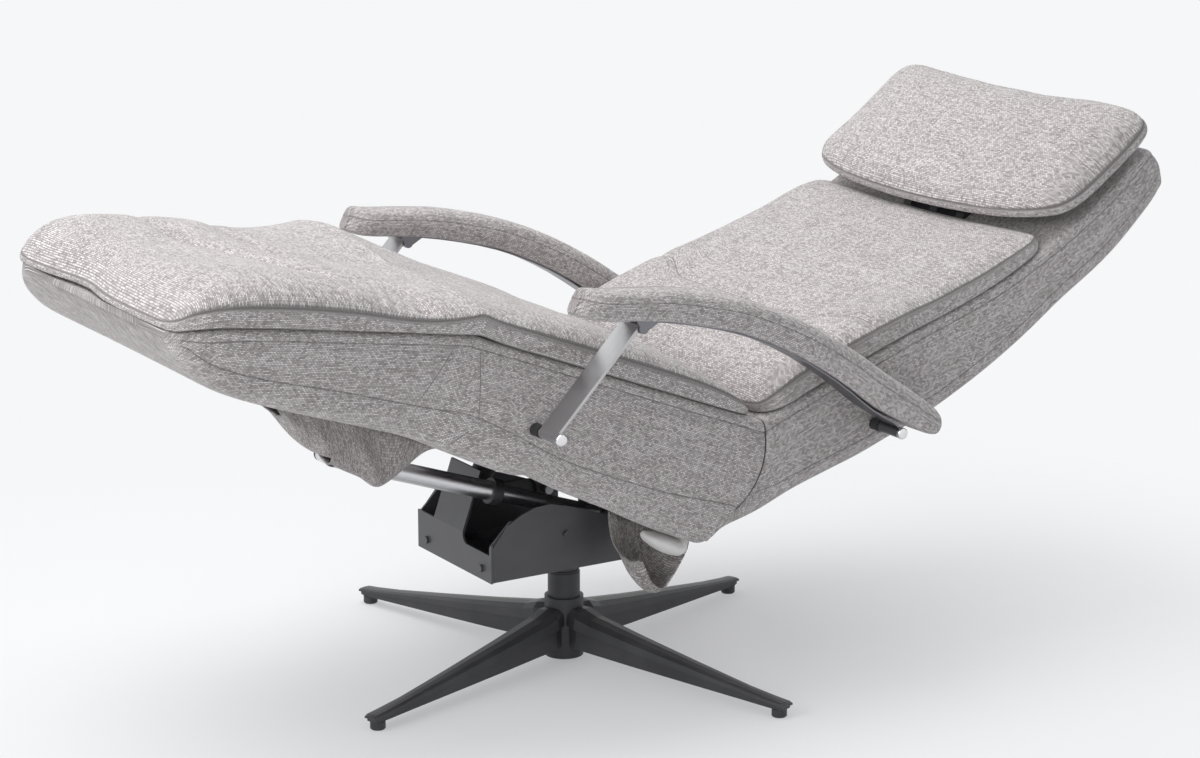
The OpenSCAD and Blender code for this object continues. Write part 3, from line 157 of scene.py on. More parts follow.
# Signed distance from a seam that means there is none near
NO_SEAM = 0.05
SEAM_WIDTH, SEAM_SHADE = 0.0014, 0.6
TOPSTITCH_IN, STITCH_WIDTH, STITCH_SHADE = 0.0078, 0.001, 0.22
SEAM_COLOR = (0.12, 0.105, 0.1, 1)
SOCKET_KINDS = {1: "NodeSocketFloat", 3: "NodeSocketVector", 4: "NodeSocketColor"}
FINISH = {"Color": (0, 0, 0, 1), "Roughness": 0.5, "Height": 0.0}


def new_group(name, inputs, outputs):
    """A node group, its sockets of the kinds that their first values need, and its end nodes."""
    group = bpy.data.node_groups.new(name, "ShaderNodeTree")
    for way, sockets in (("INPUT", inputs), ("OUTPUT", outputs)):
        for key, value in sockets.items():
            kind = SOCKET_KINDS[len(value) if isinstance(value, tuple) else 1]
            socket = group.interface.new_socket(name=key, in_out=way, socket_type=kind)
            socket.default_value = value
    return group, group.nodes.new("NodeGroupInput"), group.nodes.new("NodeGroupOutput")


def put(tree, socket, value):
    """Links a socket to another one, or sets it to a number or colour."""
    if hasattr(value, "links"):
        tree.links.new(value, socket)
    else:
        socket.default_value = value


def add_node(tree, kind, values=()):
    """A shader node with its properties set and its inputs set or linked."""
    node = tree.nodes.new("ShaderNode" + kind)
    for key, value in dict(values).items():
        if isinstance(key, str) and hasattr(node, key):
            setattr(node, key, value)
        else:
            put(tree, node.inputs[key], value)
    return node


def maths(tree, operation, a, b=None, clamp=False):
    """Result of a Math node on sockets or numbers."""
    node = add_node(tree, "Math", {"operation": operation, "use_clamp": clamp, 0: a})
    if b is not None:
        put(tree, node.inputs[1], b)
    return node.outputs[0]


def plus(tree, base, source, share):
    """A socket with a share of another one added."""
    return maths(tree, "ADD", base, maths(tree, "MULTIPLY", source, share))


def mixed(tree, factor, a, b):
    """Colour between two sockets or colours."""
    return add_node(tree, "Mix", {"data_type": "RGBA", 0: factor, 6: a, 7: b}).outputs[2]


def hand_out(tree, node, sockets):
    """Links sockets to a node's inputs of those names."""
    for key, socket in sockets.items():
        tree.links.new(socket, node.inputs[key])


def line_mask(tree, distance, place, width, shade):
    """A shade where a distance equals a place, fading to 0 over a width."""
    off = maths(tree, "ABSOLUTE", maths(tree, "SUBTRACT", distance, place))
    near = maths(tree, "SUBTRACT", 1.0, maths(tree, "DIVIDE", off, width), clamp=True)
    return maths(tree, "MULTIPLY", near, shade)


def noise_node(tree, where, scale, detail):
    return add_node(tree, "TexNoise", {"Vector": where, "Scale": scale, "Detail": detail})


def thread_rows(tree, where, length, thread, gap=0.0, soft=0.0, gap_tone=0.5):
    """Staggered rows of threads, each of its own tone, with soft gaps between them."""
    return add_node(tree, "TexBrick", {
        "Color1": (0, 0, 0, 1), "Color2": (1, 1, 1, 1), "Mortar": (gap_tone,) * 3 + (1,),
        "Scale": 1.0, "Mortar Size": gap, "Mortar Smooth": soft,
        "Vector": where, "Brick Width": length, "Row Height": thread,
    })


def melange(tree, where, slub, thread):
    """Tone of the threads from dark to light, and the texture of the short slubs."""
    wobble = noise_node(tree, where, 260.0, 1.0)
    shift = add_node(tree, "VectorMath", {
        "operation": "MULTIPLY_ADD", 0: wobble.outputs["Color"], 1: (0.0005,) * 3, 2: where,
    })
    slubs = thread_rows(tree, shift.outputs[0], slub, thread, 0.00045, 0.6, 0.1)
    long_slubs = thread_rows(tree, shift.outputs[0], 0.027, thread)
    cross = add_node(tree, "Mapping", {"Rotation": (0, 0, pi / 2), "Vector": where})
    warp = thread_rows(tree, cross.outputs[0], 0.038, thread)
    cloud = noise_node(tree, where, 14.0, 2.0)
    tone = maths(tree, "MULTIPLY", slubs.outputs["Color"], 0.8)
    tone = plus(tree, tone, long_slubs.outputs["Color"], 0.22)
    tone = plus(tree, tone, warp.outputs["Color"], 0.2)
    tone = plus(tree, tone, cloud.outputs["Fac"], 0.12)
    tone = maths(tree, "SUBTRACT", tone, 0.13)
    gaps = maths(tree, "MULTIPLY", slubs.outputs["Fac"], 0.35)
    return maths(tree, "SUBTRACT", tone, gaps, clamp=True), slubs


def weave_group():
    """Melange basket weave with short and long slubs, and the lines of its seams."""
    group, given, result = new_group("woven_cloth", {
        "Vector": (0.0, 0.0, 0.0), "Light": (0.6, 0.57, 0.56, 1), "Dark": (0.3, 0.27, 0.26, 1),
        "Slub": 0.0044, "Thread": 0.0023, "Seam": NO_SEAM,
    }, {"Color": (0, 0, 0, 1), "Height": 0.0})
    taken = given.outputs
    tone, slubs = melange(group, taken["Vector"], taken["Slub"], taken["Thread"])
    woven = mixed(group, tone, taken["Dark"], taken["Light"])
    line = maths(
        group, "MAXIMUM", line_mask(group, taken["Seam"], 0.0, SEAM_WIDTH, SEAM_SHADE),
        line_mask(group, taken["Seam"], TOPSTITCH_IN, STITCH_WIDTH, STITCH_SHADE),
    )
    height = maths(group, "SUBTRACT", 1.0, slubs.outputs["Fac"])
    height = plus(group, height, slubs.outputs["Color"], 0.5)
    height = maths(group, "SUBTRACT", height, maths(group, "MULTIPLY", line, 2.5))
    hand_out(group, result, {"Color": mixed(group, line, woven, SEAM_COLOR), "Height": height})
    return group


def coat_group():
    """Powder coat or moulded skin: fine grain, and tone and gloss that drift over the piece."""
    group, given, result = new_group("fine_coat", {
        "Color": (0.03, 0.03, 0.03, 1), "Grain": 900.0, "Gloss": 0.42, "Drift": 0.35,
    }, FINISH)
    taken = given.outputs
    place = add_node(group, "TexCoord").outputs["Object"]
    grain = noise_node(group, place, taken["Grain"], 2.0)
    cloud = noise_node(group, place, 22.0, 3.0)
    amount = maths(group, "MULTIPLY", cloud.outputs["Fac"], taken["Drift"])
    hand_out(group, result, {
        "Color": mixed(group, amount, taken["Color"], (0.16, 0.16, 0.17, 1)),
        "Roughness": plus(group, taken["Gloss"], amount, 0.3),
        "Height": grain.outputs["Fac"],
    })
    return group


def brushed_group():
    """Metal with fine lines along one direction and faint handling marks."""
    group, given, result = new_group("brushed_metal", {
        "Color": (0.5, 0.5, 0.5, 1), "Lines": (40.0, 40.0, 1200.0), "Turn": (0.0, 0.0, 0.0),
        "Gloss": 0.28,
    }, FINISH)
    taken = given.outputs
    place = add_node(group, "TexCoord").outputs["Object"]
    along = add_node(group, "Mapping", {"Vector": place, "Rotation": taken["Turn"]})
    stretched = add_node(group, "VectorMath", {
        "operation": "MULTIPLY", 0: along.outputs[0], 1: taken["Lines"],
    })
    lines = noise_node(group, stretched.outputs[0], 1.0, 2.0)
    marks = noise_node(group, place, 30.0, 4.0)
    shade = maths(group, "MULTIPLY", lines.outputs["Fac"], 0.3)
    hand_out(group, result, {
        "Color": mixed(group, shade, taken["Color"], (0.1, 0.1, 0.11, 1)),
        "Roughness": plus(group, taken["Gloss"], marks.outputs["Fac"], 0.14),
        "Height": lines.outputs["Fac"],
    })
    return group


WEAVE, COAT, BRUSHED = weave_group(), coat_group(), brushed_group()


# Materials


def new_material(name, sockets):
    """A material, its tree and its Principled shader with plain values set."""
    material = bpy.data.materials.new(name)
    material.use_nodes = True
    tree = material.node_tree
    shader = tree.nodes["Principled BSDF"]
    for key, value in sockets.items():
        shader.inputs[key].default_value = value
    return material, tree, shader


def group_material(name, group, values, sockets, bump, strength=1.0):
    """A material that takes colour, roughness and relief from a node group."""
    material, tree, shader = new_material(name, sockets)
    source = add_node(tree, "Group", {"node_tree": group, **values})
    given = source.outputs
    relief = add_node(tree, "Bump", {
        "Distance": bump, "Strength": strength, "Height": given["Height"],
    })
    hand_out(tree, shader, {"Base Color": given["Color"], "Normal": relief.outputs["Normal"]})
    if "Roughness" in given:
        hand_out(tree, shader, {"Roughness": given["Roughness"]})
    return material, tree, source


def cloth_material(name, light, dark):
    material, tree, weave = group_material(
        name, WEAVE, {"Light": light, "Dark": dark},
        {"Roughness": 0.92, "Sheen Weight": 0.22, "Sheen Roughness": 0.45,
         "Specular IOR Level": 0.2},
        0.0007, 0.7,
    )
    grid = add_node(tree, "UVMap", {"uv_map": "cloth"})
    seam = add_node(tree, "Attribute", {"attribute_name": "seam"})
    hand_out(tree, weave, {"Vector": grid.outputs[0], "Seam": seam.outputs["Fac"]})
    return material


def coat_material(name, color, gloss, grain, drift, bump=0.00006):
    values = {"Color": color, "Gloss": gloss, "Grain": grain, "Drift": drift}
    return group_material(name, COAT, values, {"Specular IOR Level": 0.5}, bump)[0]


def metal_material(name, color, gloss, lines, turn=(0, 0, 0), bump=0.00003):
    values = {"Color": color, "Gloss": gloss, "Lines": lines, "Turn": turn}
    return group_material(name, BRUSHED, values, {"Metallic": 1.0}, bump)[0]


CLOTH = cloth_material("grey_melange", (0.86, 0.82, 0.81, 1), (0.29, 0.262, 0.255, 1))
# Darker copy of the same cover cloth for the linings that hang under the seat: painted shade of the
# underside, not another fabric
CLOTH_SHADED = cloth_material("grey_melange_shaded", (0.7, 0.66, 0.65, 1), (0.22, 0.195, 0.19, 1))
THREAD = coat_material("sewing_thread", (0.24, 0.22, 0.21, 1), 0.7, 2500.0, 0.3)
WADDING = coat_material("pale_wadding", (0.8, 0.79, 0.77, 1), 0.95, 240.0, 0.1, 0.0012)
POWDER = coat_material("black_powder_coat", (0.022, 0.022, 0.024, 1), 0.4, 1100.0, 0.3, 0.00005)
SHEET = coat_material("black_sheet_metal", (0.056, 0.056, 0.061, 1), 0.34, 500.0, 0.35, 0.00003)
PLASTIC = coat_material("black_plastic", (0.018, 0.018, 0.019, 1), 0.48, 1500.0, 0.25, 0.00008)
LEAN = radians(46.3)
STRUT_STEEL = metal_material("brushed_strut_steel", (0.6, 0.6, 0.61, 1), 0.24,
                             (1500.0, 18.0, 18.0), (-LEAN, 0, 0))
DARK_STEEL = metal_material("dark_strip_steel", (0.23, 0.23, 0.25, 1), 0.3, (1200.0, 20.0, 20.0))
CHROME = metal_material("polished_chrome", (0.88, 0.88, 0.9, 1), 0.05, (60.0, 60.0, 60.0), bump=0.000004)
TURNED = metal_material("turned_steel", (0.62, 0.62, 0.63, 1), 0.25, (900.0, 60.0, 60.0))
SILVER = metal_material("silver_tube", (0.8, 0.8, 0.82, 1), 0.26, (700.0, 40.0, 700.0))

NODE_FINISH = {
    POWDER: ["base_star", "column_tube", "turning_post", "seat_frame_plates", "seat_cross_tubes",
             "tilt_brackets", "motor_bracket", "actuator_lugs", "leg_frame", "back_frame",
             "headrest_hinge", "headrest_plate", "tilt_ears"],
    SHEET: ["post_plate", "box_channel", "box_front_plate", "box_side_plates", "box_screws"],
    PLASTIC: ["glides", "column_bush", "strut_spacers", "arm_spacers", "actuator_motor",
              "actuator_collar", "tilt_motor", "recline_motor"],
    TURNED: ["tilt_pins", "leg_hinge_pins", "back_hinge_pins", "strut_pins", "arm_pins",
             "cover_clips"],
    CHROME: ["strut_caps", "arm_caps"],
    SILVER: ["actuator_inner_tube", "actuator_outer_tube", "tilt_rod", "recline_rod"],
    STRUT_STEEL: ["front_strut_left", "front_strut_right"],
    DARK_STEEL: ["arm_strip_left", "arm_strip_right"],
}
for finish, names in NODE_FINISH.items():
    for name in names:
        nodes[name].data.materials.clear()
        nodes[name].data.materials.append(finish)


# Meshes

MERGE_WITHIN, SHARP_ANGLE = 0.00002, radians(50)


def make_active(piece):
    bpy.ops.object.select_all(action="DESELECT")
    piece.select_set(True)
    bpy.context.view_layer.objects.active = piece


def apply_modifier(piece, kind, **settings):
    """Adds a modifier and applies it at once."""
    make_active(piece)
    modifier = piece.modifiers.new(kind.lower(), kind)
    for key, value in settings.items():
        setattr(modifier, key, value)
    bpy.ops.object.modifier_apply(modifier=modifier.name)


def new_object(name, data):
    thing = bpy.data.objects.new(name, data)
    bpy.context.scene.collection.objects.link(thing)
    return thing


def new_piece(name, points, faces, cloth=None, seam=None, material=None):
    """A mesh object with its cloth grid and its signed distance from a seam, in metres."""
    mesh = bpy.data.meshes.new(name)
    mesh.from_pydata([tuple(p) for p in points], [], faces)
    if cloth:
        layer = mesh.uv_layers.new(name="cloth")
        for loop in mesh.loops:
            layer.data[loop.index].uv = cloth[loop.vertex_index]
    mask = mesh.attributes.new("seam", "FLOAT", "POINT")
    mask.data.foreach_set("value", seam or [NO_SEAM] * len(points))
    mesh.update()
    if material:
        mesh.materials.append(material)
    return new_object(name, mesh)


def clean_normals(piece):
    """Merges doubles and turns every face outwards."""
    make_active(piece)
    bpy.ops.object.mode_set(mode="EDIT")
    bpy.ops.mesh.select_all(action="SELECT")
    bpy.ops.mesh.remove_doubles(threshold=MERGE_WITHIN)
    bpy.ops.mesh.normals_make_consistent(inside=False)
    bpy.ops.object.mode_set(mode="OBJECT")


def finish_soft(piece):
    clean_normals(piece)
    apply_modifier(piece, "SUBSURF", levels=1, render_levels=1)
    bpy.ops.object.shade_smooth()
    return piece


def shade_by_angle(piece):
    make_active(piece)
    bpy.ops.object.shade_smooth_by_angle(angle=SHARP_ANGLE)


def crumple(point, scale, seed):
    """Small even unrest of cloth over foam, from -1 to 1."""
    return noise.noise(Vector(point) / scale + Vector((seed, 2.3 * seed, 5.1 * seed)))


def tube_faces(count, rings):
    """Faces between closed rings of that many points, numbered ring after ring."""
    faces = []
    for start in range(0, (rings - 1) * count, count):
        for j in range(count):
            k = (j + 1) % count
            faces.append((start + j, start + k, start + count + k, start + count + j))
    return faces


# Boxed cushions

# Share of the half size at each line of a panel's grid, close together at the seam
EDGE_SHARES = [0.84, 0.885, 0.92, 0.947, 0.967, 0.981, 0.99, 0.9955, 0.9985, 1.0]
# Share of the boxing's height at each of its inner rings, and how far that one swells
WALL_SHARES = [(0.04, 0.3), (0.16, 0.8), (0.5, 1.0), (0.84, 0.8), (0.96, 0.3)]
# Part of a panel, in from its edge, over which its folds and its unrest fade in
FADE_IN = 0.05
PANEL_UNREST, WALL_UNREST = 0.0013, 0.0006


def grid_lines(inner, extra=()):
    """Shares from -1 to 1 with even lines inside, closer ones at both ends, and extra ones."""
    half = [EDGE_SHARES[0] * i / inner for i in range(1, inner)] + EDGE_SHARES
    lines = [-s for s in reversed(half)] + [0.0] + half
    gap = 0.6 * EDGE_SHARES[0] / inner
    kept = [s for s in lines if all(abs(s - e) > gap for e in extra)]
    return sorted(kept + list(extra))


def rim_of(rows, columns):
    """Row and column of each point round the edge of a grid."""
    return (
        [(0, j) for j in range(columns)]
        + [(i, columns - 1) for i in range(1, rows)]
        + [(rows - 1, j) for j in range(columns - 2, -1, -1)]
        + [(i, 0) for i in range(rows - 2, 0, -1)]
    )


def rim_walk(plans):
    """Outward direction at each point of a rim, and the way walked round to it."""
    outward, walked = [], [0.0]
    for k, (x, l, _) in enumerate(plans):
        a, b = plans[k - 1], plans[(k + 1) % len(plans)]
        d = Vector((b[0] - a[0], b[1] - a[1])).normalized()
        outward.append((d[1], -d[0]))
        walked.append(walked[-1] + hypot(x - a[0], l - a[1]))
    return outward, walked


def pad_faces(upper, lower, loops):
    """Faces of both panels, and of the boxing through the loops between them."""
    faces = []
    for i in range(len(upper) - 1):
        for j in range(len(upper[0]) - 1):
            faces.append((upper[i][j], upper[i][j + 1], upper[i + 1][j + 1], upper[i + 1][j]))
            faces.append((lower[i][j], lower[i + 1][j], lower[i + 1][j + 1], lower[i][j + 1]))
    for a, b in zip(loops, loops[1:]):
        for k in range(len(a)):
            n = (k + 1) % len(a)
            faces.append((a[k], b[k], b[n], a[n]))
    return faces


def boxed_pad(name, place, ends, outline, top, lines, corner, puff, seed,
              bow=level, warp=level, extra=(), cross_seams=(), wall_puff=0.0022):
    """A cushion of two panels and a boxing strip.

    place(x, l, h) gives the point at x across, l along and h above the cover. outline(l)
    gives half width, underside, boxing, crown and belly, and top(x, l) is added to the crown.
    bow(x, l) and warp(x, l) shift points along. cross_seams are places l of seams across the
    top, and extra are places of more grid lines.
    """
    middle, reach = (ends[0] + ends[1]) / 2, (ends[1] - ends[0]) / 2
    across = grid_lines(lines[0])
    along = grid_lines(lines[1], [(l - middle) / reach for l in extra])
    points, cloth, seam = [], [], []

    def plan(s, t):
        far = max(abs(s), abs(t), 1e-9)
        g = far / (abs(s) ** corner + abs(t) ** corner) ** (1 / corner) if far > 1e-8 else 1
        l = middle + t * g * reach
        return s * g * outline(l)[0], l, min(1.0, far)

    def add(x, l, h, uv, line):
        points.append(place(x, l + (bow(x, l) + warp(x, l)), h))
        cloth.append(uv)
        seam.append(line)
        return len(points) - 1

    def panel_point(s, t, is_upper):
        x, l, far = plan(s, t)
        half_w, low, box, crown, belly = outline(l)
        edge = min((1 - abs(s)) * half_w, (1 - abs(t)) * reach)
        swell = sqrt(max(0.0, 1 - far**puff))
        if not is_upper:
            return add(x, l, low - belly * swell, (x, l + 2), -edge)
        inner = ramp(1 - far, 0.0, FADE_IN)
        h = low + box + crown * swell
        h += top(x, l) * inner
        h += PANEL_UNREST * inner * crumple((x, l, 0), 0.055, seed)
        line = min([edge] + [abs(l - crossed) for crossed in cross_seams])
        return add(x, l, h, (x, l), line)

    upper = [[panel_point(s, t, True) for s in across] for t in along]
    rim = rim_of(len(along), len(across))
    plans = [plan(across[j], along[i]) for i, j in rim]
    outward, walked = rim_walk(plans)
    loops = [[upper[i][j] for i, j in rim]]
    for share, swell in WALL_SHARES:
        loop = []
        for (x, l, _), (out_x, out_l), way in zip(plans, outward, walked):
            _, low, box, _, _ = outline(l)
            unrest = WALL_UNREST * crumple((x * 2, l * 2, share), 0.03, seed + 3)
            out = wall_puff * swell + unrest
            loop.append(add(
                x + out_x * out, l + out_l * out, low + box * (1 - share),
                (way, -0.5 - share * box), -min(share, 1 - share) * box,
            ))
        loops.append(loop)
    lower = [[panel_point(s, t, False) for s in across] for t in along]
    loops.append([lower[i][j] for i, j in rim])
    faces = pad_faces(upper, lower, loops)
    return finish_soft(new_piece(name, points, faces, cloth, seam, CLOTH))


def on_back(x, l, h):
    return side_point(x, back_at(l, h))


# Long cushion over the leg rest and the seat: place along it from the feet to the crease,
# underside, boxing, crown, dish and share of the half width
LONG_ENDS = (-0.434, 0.486)
LONG_PAD = track([
    (-0.434, -0.0135, 0.009, 0.006, 0, 0.935),
    (-0.426, -0.0135, 0.0125, 0.02, 0, 0.958),
    (-0.408, -0.0078, 0.0195, 0.03, 0.003, 0.975),
    (-0.378, -0.0023, 0.0234, 0.04, 0.007, 0.99),
    (-0.331, 0, 0.0255, 0.043, 0.011, 1),
    (-0.267, 0.0005, 0.026, 0.043, 0.013, 1),
    (-0.189, 0.0005, 0.0235, 0.04, 0.012, 1),
    (-0.103, 0.0005, 0.016, 0.036, 0.006, 1),
    (-0.05, 0, 0.0175, 0.029, 0, 1),
    (0, 0, 0.0245, 0.021, 0, 1),
    (0.044, -0.0026, 0.0265, 0.022, 0, 1),
    (0.108, -0.0026, 0.0265, 0.0285, 0.001, 1),
    (0.207, -0.0026, 0.0265, 0.0315, 0.002, 1),
    (0.306, -0.0026, 0.0265, 0.0275, 0.002, 1),
    (0.385, -0.0026, 0.0245, 0.02, 0, 1),
    (0.424, -0.0026, 0.0205, 0.016, 0, 0.998),
    (0.451, -0.0026, 0.016, 0.012, 0, 0.992),
    (0.471, -0.0026, 0.01, 0.007, 0, 0.984),
    (0.486, -0.0026, 0.004, 0.0015, 0, 0.975),
])
PUCKERS = [(-0.139, 0.0055), (-0.118, 0.005), (-0.099, 0.006), (-0.076, 0.0045)]
PUCKER_LINES = [-0.162 + 0.0026 * i for i in range(40)]


def long_pad_place(x, l, h):
    share = ramp(l, -0.07, 0.07)
    angle = -(LEG_RISE * (1 - share) + SEAT_FALL * share)
    base = KNEE + turned(l, 0, -LEG_RISE if l < 0 else -SEAT_FALL)
    return side_point(x, base + turned(0, h, angle))


def fold_lines(x):
    """Places l of the two folds that run slantwise over the leg cushion to its near edge."""
    first = -0.266 + 0.33 * max(0.0, x + 0.06) + 0.075 * ramp(x, 0.195, 0.24)
    second = -0.157 + 0.1 * max(0.0, x) + 0.055 * ramp(x, 0.13, 0.215)
    return first, second


def long_pad_top(x, l):
    """Dish, folds across the pad where it bends, the far hump and the near puckers."""
    s = x / PAD_HALF
    h = -LONG_PAD(l)[3] * (1 - s * s) ** 2
    first, second = fold_lines(x)
    far_off = 1 - 0.75 * ramp(-x, 0.1, 0.24)
    near = ramp(x, 0.16, 0.25)
    h -= 0.013 * bell(l, first, 0.013) * (1 - 0.55 * near) * far_off
    h -= 0.011 * bell(l, second, 0.014) * (1 - 0.45 * near) * far_off
    between = bell(l, (first + second) / 2, 0.03)
    h += 0.0035 * between * (1 - 0.6 * ramp(x, 0.1, 0.24)) * far_off
    h += 0.0225 * bell(l, 0.012, 0.09) * ramp(-x, -0.04, 0.17)
    h -= 0.004 * bell(l, -0.105, 0.04) * ramp(x, 0.08, 0.25)
    for centre, depth in PUCKERS:
        reach = ramp(x, 0.165, 0.235) * (1 - 0.5 * ramp(x, 0.275, 0.292))
        h -= depth * bell(l + 0.3 * (x - 0.26), centre, 0.005) * reach
    h -= 0.0014 * bell(l, 0.004, 0.006) * ramp(x, 0.12, 0.26)
    return h + 0.0026 * crumple((x, l, 0), 0.1, 8.0)


def long_pad_warp(x, l):
    """Middle of the front edge, drawn in a little."""
    return 0.02 * bell(x, -0.055, 0.085) * ramp(-l, 0.34, 0.43)


def long_pad_outline(l):
    low, box, crown, _, share = LONG_PAD(l)
    return share * PAD_HALF, low, box + 0.002 * bell(l, 0.0, 0.012), crown, 0.0


def make_long_pad():
    pad = boxed_pad(
        "leg_seat_cushion", long_pad_place, LONG_ENDS, long_pad_outline, long_pad_top,
        lines=(14, 74), corner=16.0, puff=6.0, seed=1.0, extra=PUCKER_LINES, warp=long_pad_warp,
    )
    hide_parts("leg_pad", "seat_pad")
    return pad


# Back cushion: place from the crease, underside, boxing, crown and share of the half width
BACK_ENDS = (0.005, 0.547)
BACK_PAD = track([
    (0.005, -0.0022, 0.014, 0.014, 0.985),
    (0.036, -0.0036, 0.025, 0.019, 1),
    (0.087, -0.0064, 0.03, 0.022, 1),
    (0.174, -0.0154, 0.03, 0.02, 1),
    (0.284, -0.0254, 0.028, 0.018, 1),
    (0.411, -0.0376, 0.025, 0.016, 1),
    (0.49, -0.0382, 0.022, 0.012, 0.998),
    (0.531, -0.0376, 0.018, 0.008, 0.985),
    (0.547, -0.035, 0.012, 0.005, 0.97),
])
BACK_PAD_HALF = 0.289
LUMBAR_U = 0.19


def lumbar_bend(x, l):
    """How far the curved seam over the lower back stands from its middle, along the back."""
    rise = 0.04 * ramp(abs(x), 0.155, 0.255) - 0.008
    return rise * max(0.0, 1 - ((l - LUMBAR_U) / 0.15) ** 2) ** 2


def back_pad_top(x, l):
    h = 0.0036 * ramp(LUMBAR_U - l, 0.0, 0.022) * ramp(l, 0.02, 0.12)
    h -= 0.0034 * bell(l, LUMBAR_U, 0.0034)
    h += 0.002 * ramp(l - LUMBAR_U, 0.0, 0.02)
    return h + 0.0018 * crumple((x, l, 0), 0.1, 4.0)


def back_pad_outline(l):
    low, box, crown, share = BACK_PAD(l)
    return share * BACK_PAD_HALF, low, box, crown, 0.0


def make_back_pad():
    pad = boxed_pad(
        "back_cushion", on_back, BACK_ENDS, back_pad_outline, back_pad_top,
        lines=(14, 60), corner=16.0, puff=6.0, seed=5.0,
        extra=[LUMBAR_U + d for d in (-0.007, -0.003, 0, 0.003, 0.007)],
        cross_seams=[LUMBAR_U], warp=lumbar_bend,
        bow=lambda x, l: -0.014 * ramp(l, 0.4, BACK_ENDS[1]) * (1 - (x / BACK_PAD_HALF) ** 2),
    )
    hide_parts("back_pad")
    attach(pad, "back")


# Head pillow: place along the back, rear face, thickness and share of the half width
PILLOW_ENDS = (0.547, 0.795)
PILLOW = track([
    (0.547, 0.003, 0.026, 0.96),
    (0.556, 0, 0.038, 0.98),
    (0.578, -0.008, 0.055, 1),
    (0.622, -0.0125, 0.071, 1),
    (0.684, -0.004, 0.077, 1),
    (0.74, 0.009, 0.074, 1),
    (0.774, 0.02, 0.065, 1),
    (0.788, 0.026, 0.058, 0.99),
    (0.795, 0.03, 0.05, 0.98),
])
PILLOW_HALF = 0.301
PILLOW_BOXING = 0.013
PILLOW_SEAM_SHARE = 0.26


def pillow_outline(l):
    rear, thick, share = PILLOW(l)
    low = rear + PILLOW_SEAM_SHARE * thick - PILLOW_BOXING / 2
    crown = max(0.001, rear + thick - low - PILLOW_BOXING)
    return share * PILLOW_HALF, low, PILLOW_BOXING, crown, max(0.001, low - rear)


def make_pillow():
    pillow = boxed_pad(
        "head_pillow", on_back, PILLOW_ENDS, pillow_outline,
        lambda x, l: 0.003 * crumple((x, l, 0), 0.09, 6.0),
        lines=(24, 18), corner=7.0, puff=4.6, seed=7.0, wall_puff=0.003,
        bow=lambda x, l: -0.03 * (1 - (x / PILLOW_HALF) ** 2),
    )
    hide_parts("headrest_pillow")
    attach(pillow, "headrest")


# Covers of the leg rest, the seat and the back

TOP_ROUND = 0.01
UPPER_SEAM = 0.016
LOW_ROUND_W, LOW_ROUND_H = 0.03, 0.026
# Steps down and inwards of the groove at a seam
GROOVE = [(-0.006, 0.0), (-0.0022, 0.0005), (0.0, 0.0018), (0.0022, 0.0005), (0.006, 0.0)]
GROOVE_HALF = 0.006
WALL_SWELL = 0.0022
# Least depth from seam to seam, from the low seam to its round, and for a groove of full size
SEAM_GAP, ROUND_GAP, GROOVE_ROOM = 0.012, 0.004, 0.016
# Unrest of a cover's sides, which lie further out than this
SIDE_UNREST, SIDES_FROM = 0.001, 0.2
# A section less deep than this has smaller rounds, and one under SEAM_SHARE of it no seams
FULL_DEPTH, SEAM_SHARE = 0.067, 0.6


def half_profile(w, depth, seam_share):
    """Half of a cover's section: x, distance down from the top, signed distance from a seam."""
    k = min(1.0, depth / FULL_DEPTH)
    round_r = TOP_ROUND * k
    upper, lower = UPPER_SEAM * k, max(seam_share * depth, (UPPER_SEAM + SEAM_GAP) * k)
    base = depth - LOW_ROUND_H * k
    lower = min(lower, base - ROUND_GAP * k)

    def from_seam(d):
        return min(d - upper, lower - d)

    found = [(w * i / 4, 0.0, -NO_SEAM) for i in range(4)]
    for i in range(4):
        a = pi / 2 * i / 4
        d = round_r * (1 - cos(a))
        found.append((w - round_r * (1 - sin(a)), d, from_seam(d)))
    fit = min(k, (lower - upper) / GROOVE_ROOM)
    found += [(w - inward * fit, upper + d * fit, d * fit) for d, inward in GROOVE]
    start, end = upper + GROOVE_HALF * fit, lower - GROOVE_HALF * fit
    for i in range(1, 5):
        d = start + (end - start) * i / 5
        swell = WALL_SWELL * sin(pi * i / 5) * fit
        found.append((w + swell, d, from_seam(d)))
    found += [(w - inward * fit, lower + d * fit, -d * fit) for d, inward in GROOVE]
    for i in range(6):
        a = pi / 2 * i / 5
        d = base + LOW_ROUND_H * k * sin(a)
        found.append((w - LOW_ROUND_W * k * (1 - cos(a)), d, from_seam(d)))
    under = w - LOW_ROUND_W * k
    found += [(under * i / 4, depth, -NO_SEAM) for i in (3, 2, 1, 0)]
    if k > SEAM_SHARE:
        return found
    return [(x, d, -NO_SEAM) for x, d, _ in found]


def cover_ring(row, inner=False):
    """Closed ring of a cover: (point, seam distance) from the top middle round to it again."""
    top, low = Vector(row[0:2]), Vector(row[2:4])
    w, bow, seam_share = row[4], Vector(row[5:7]), row[7]
    down = (low - top).normalized()
    depth = (low - top).length
    if inner:
        top = top + down * PLATFORM
        depth = max(0.004, depth - PLATFORM - PAN)
        w = w - SIDE_WALL
        half = [(w * i / 4, 0.0, -NO_SEAM) for i in range(5)]
        half += [(w, depth * i / 3, -NO_SEAM) for i in (1, 2, 3)]
        half += [(w * i / 4, depth, -NO_SEAM) for i in (3, 2, 1, 0)]
    else:
        half = half_profile(w, depth, seam_share)
    ring = half + [(-x, d, m) for x, d, m in reversed(half[1:-1])]
    found = []
    for x, d, mask in ring:
        yz = top + down * d + bow * (1 - (x / w) ** 2)
        found.append((side_point(x, yz), mask))
    return found


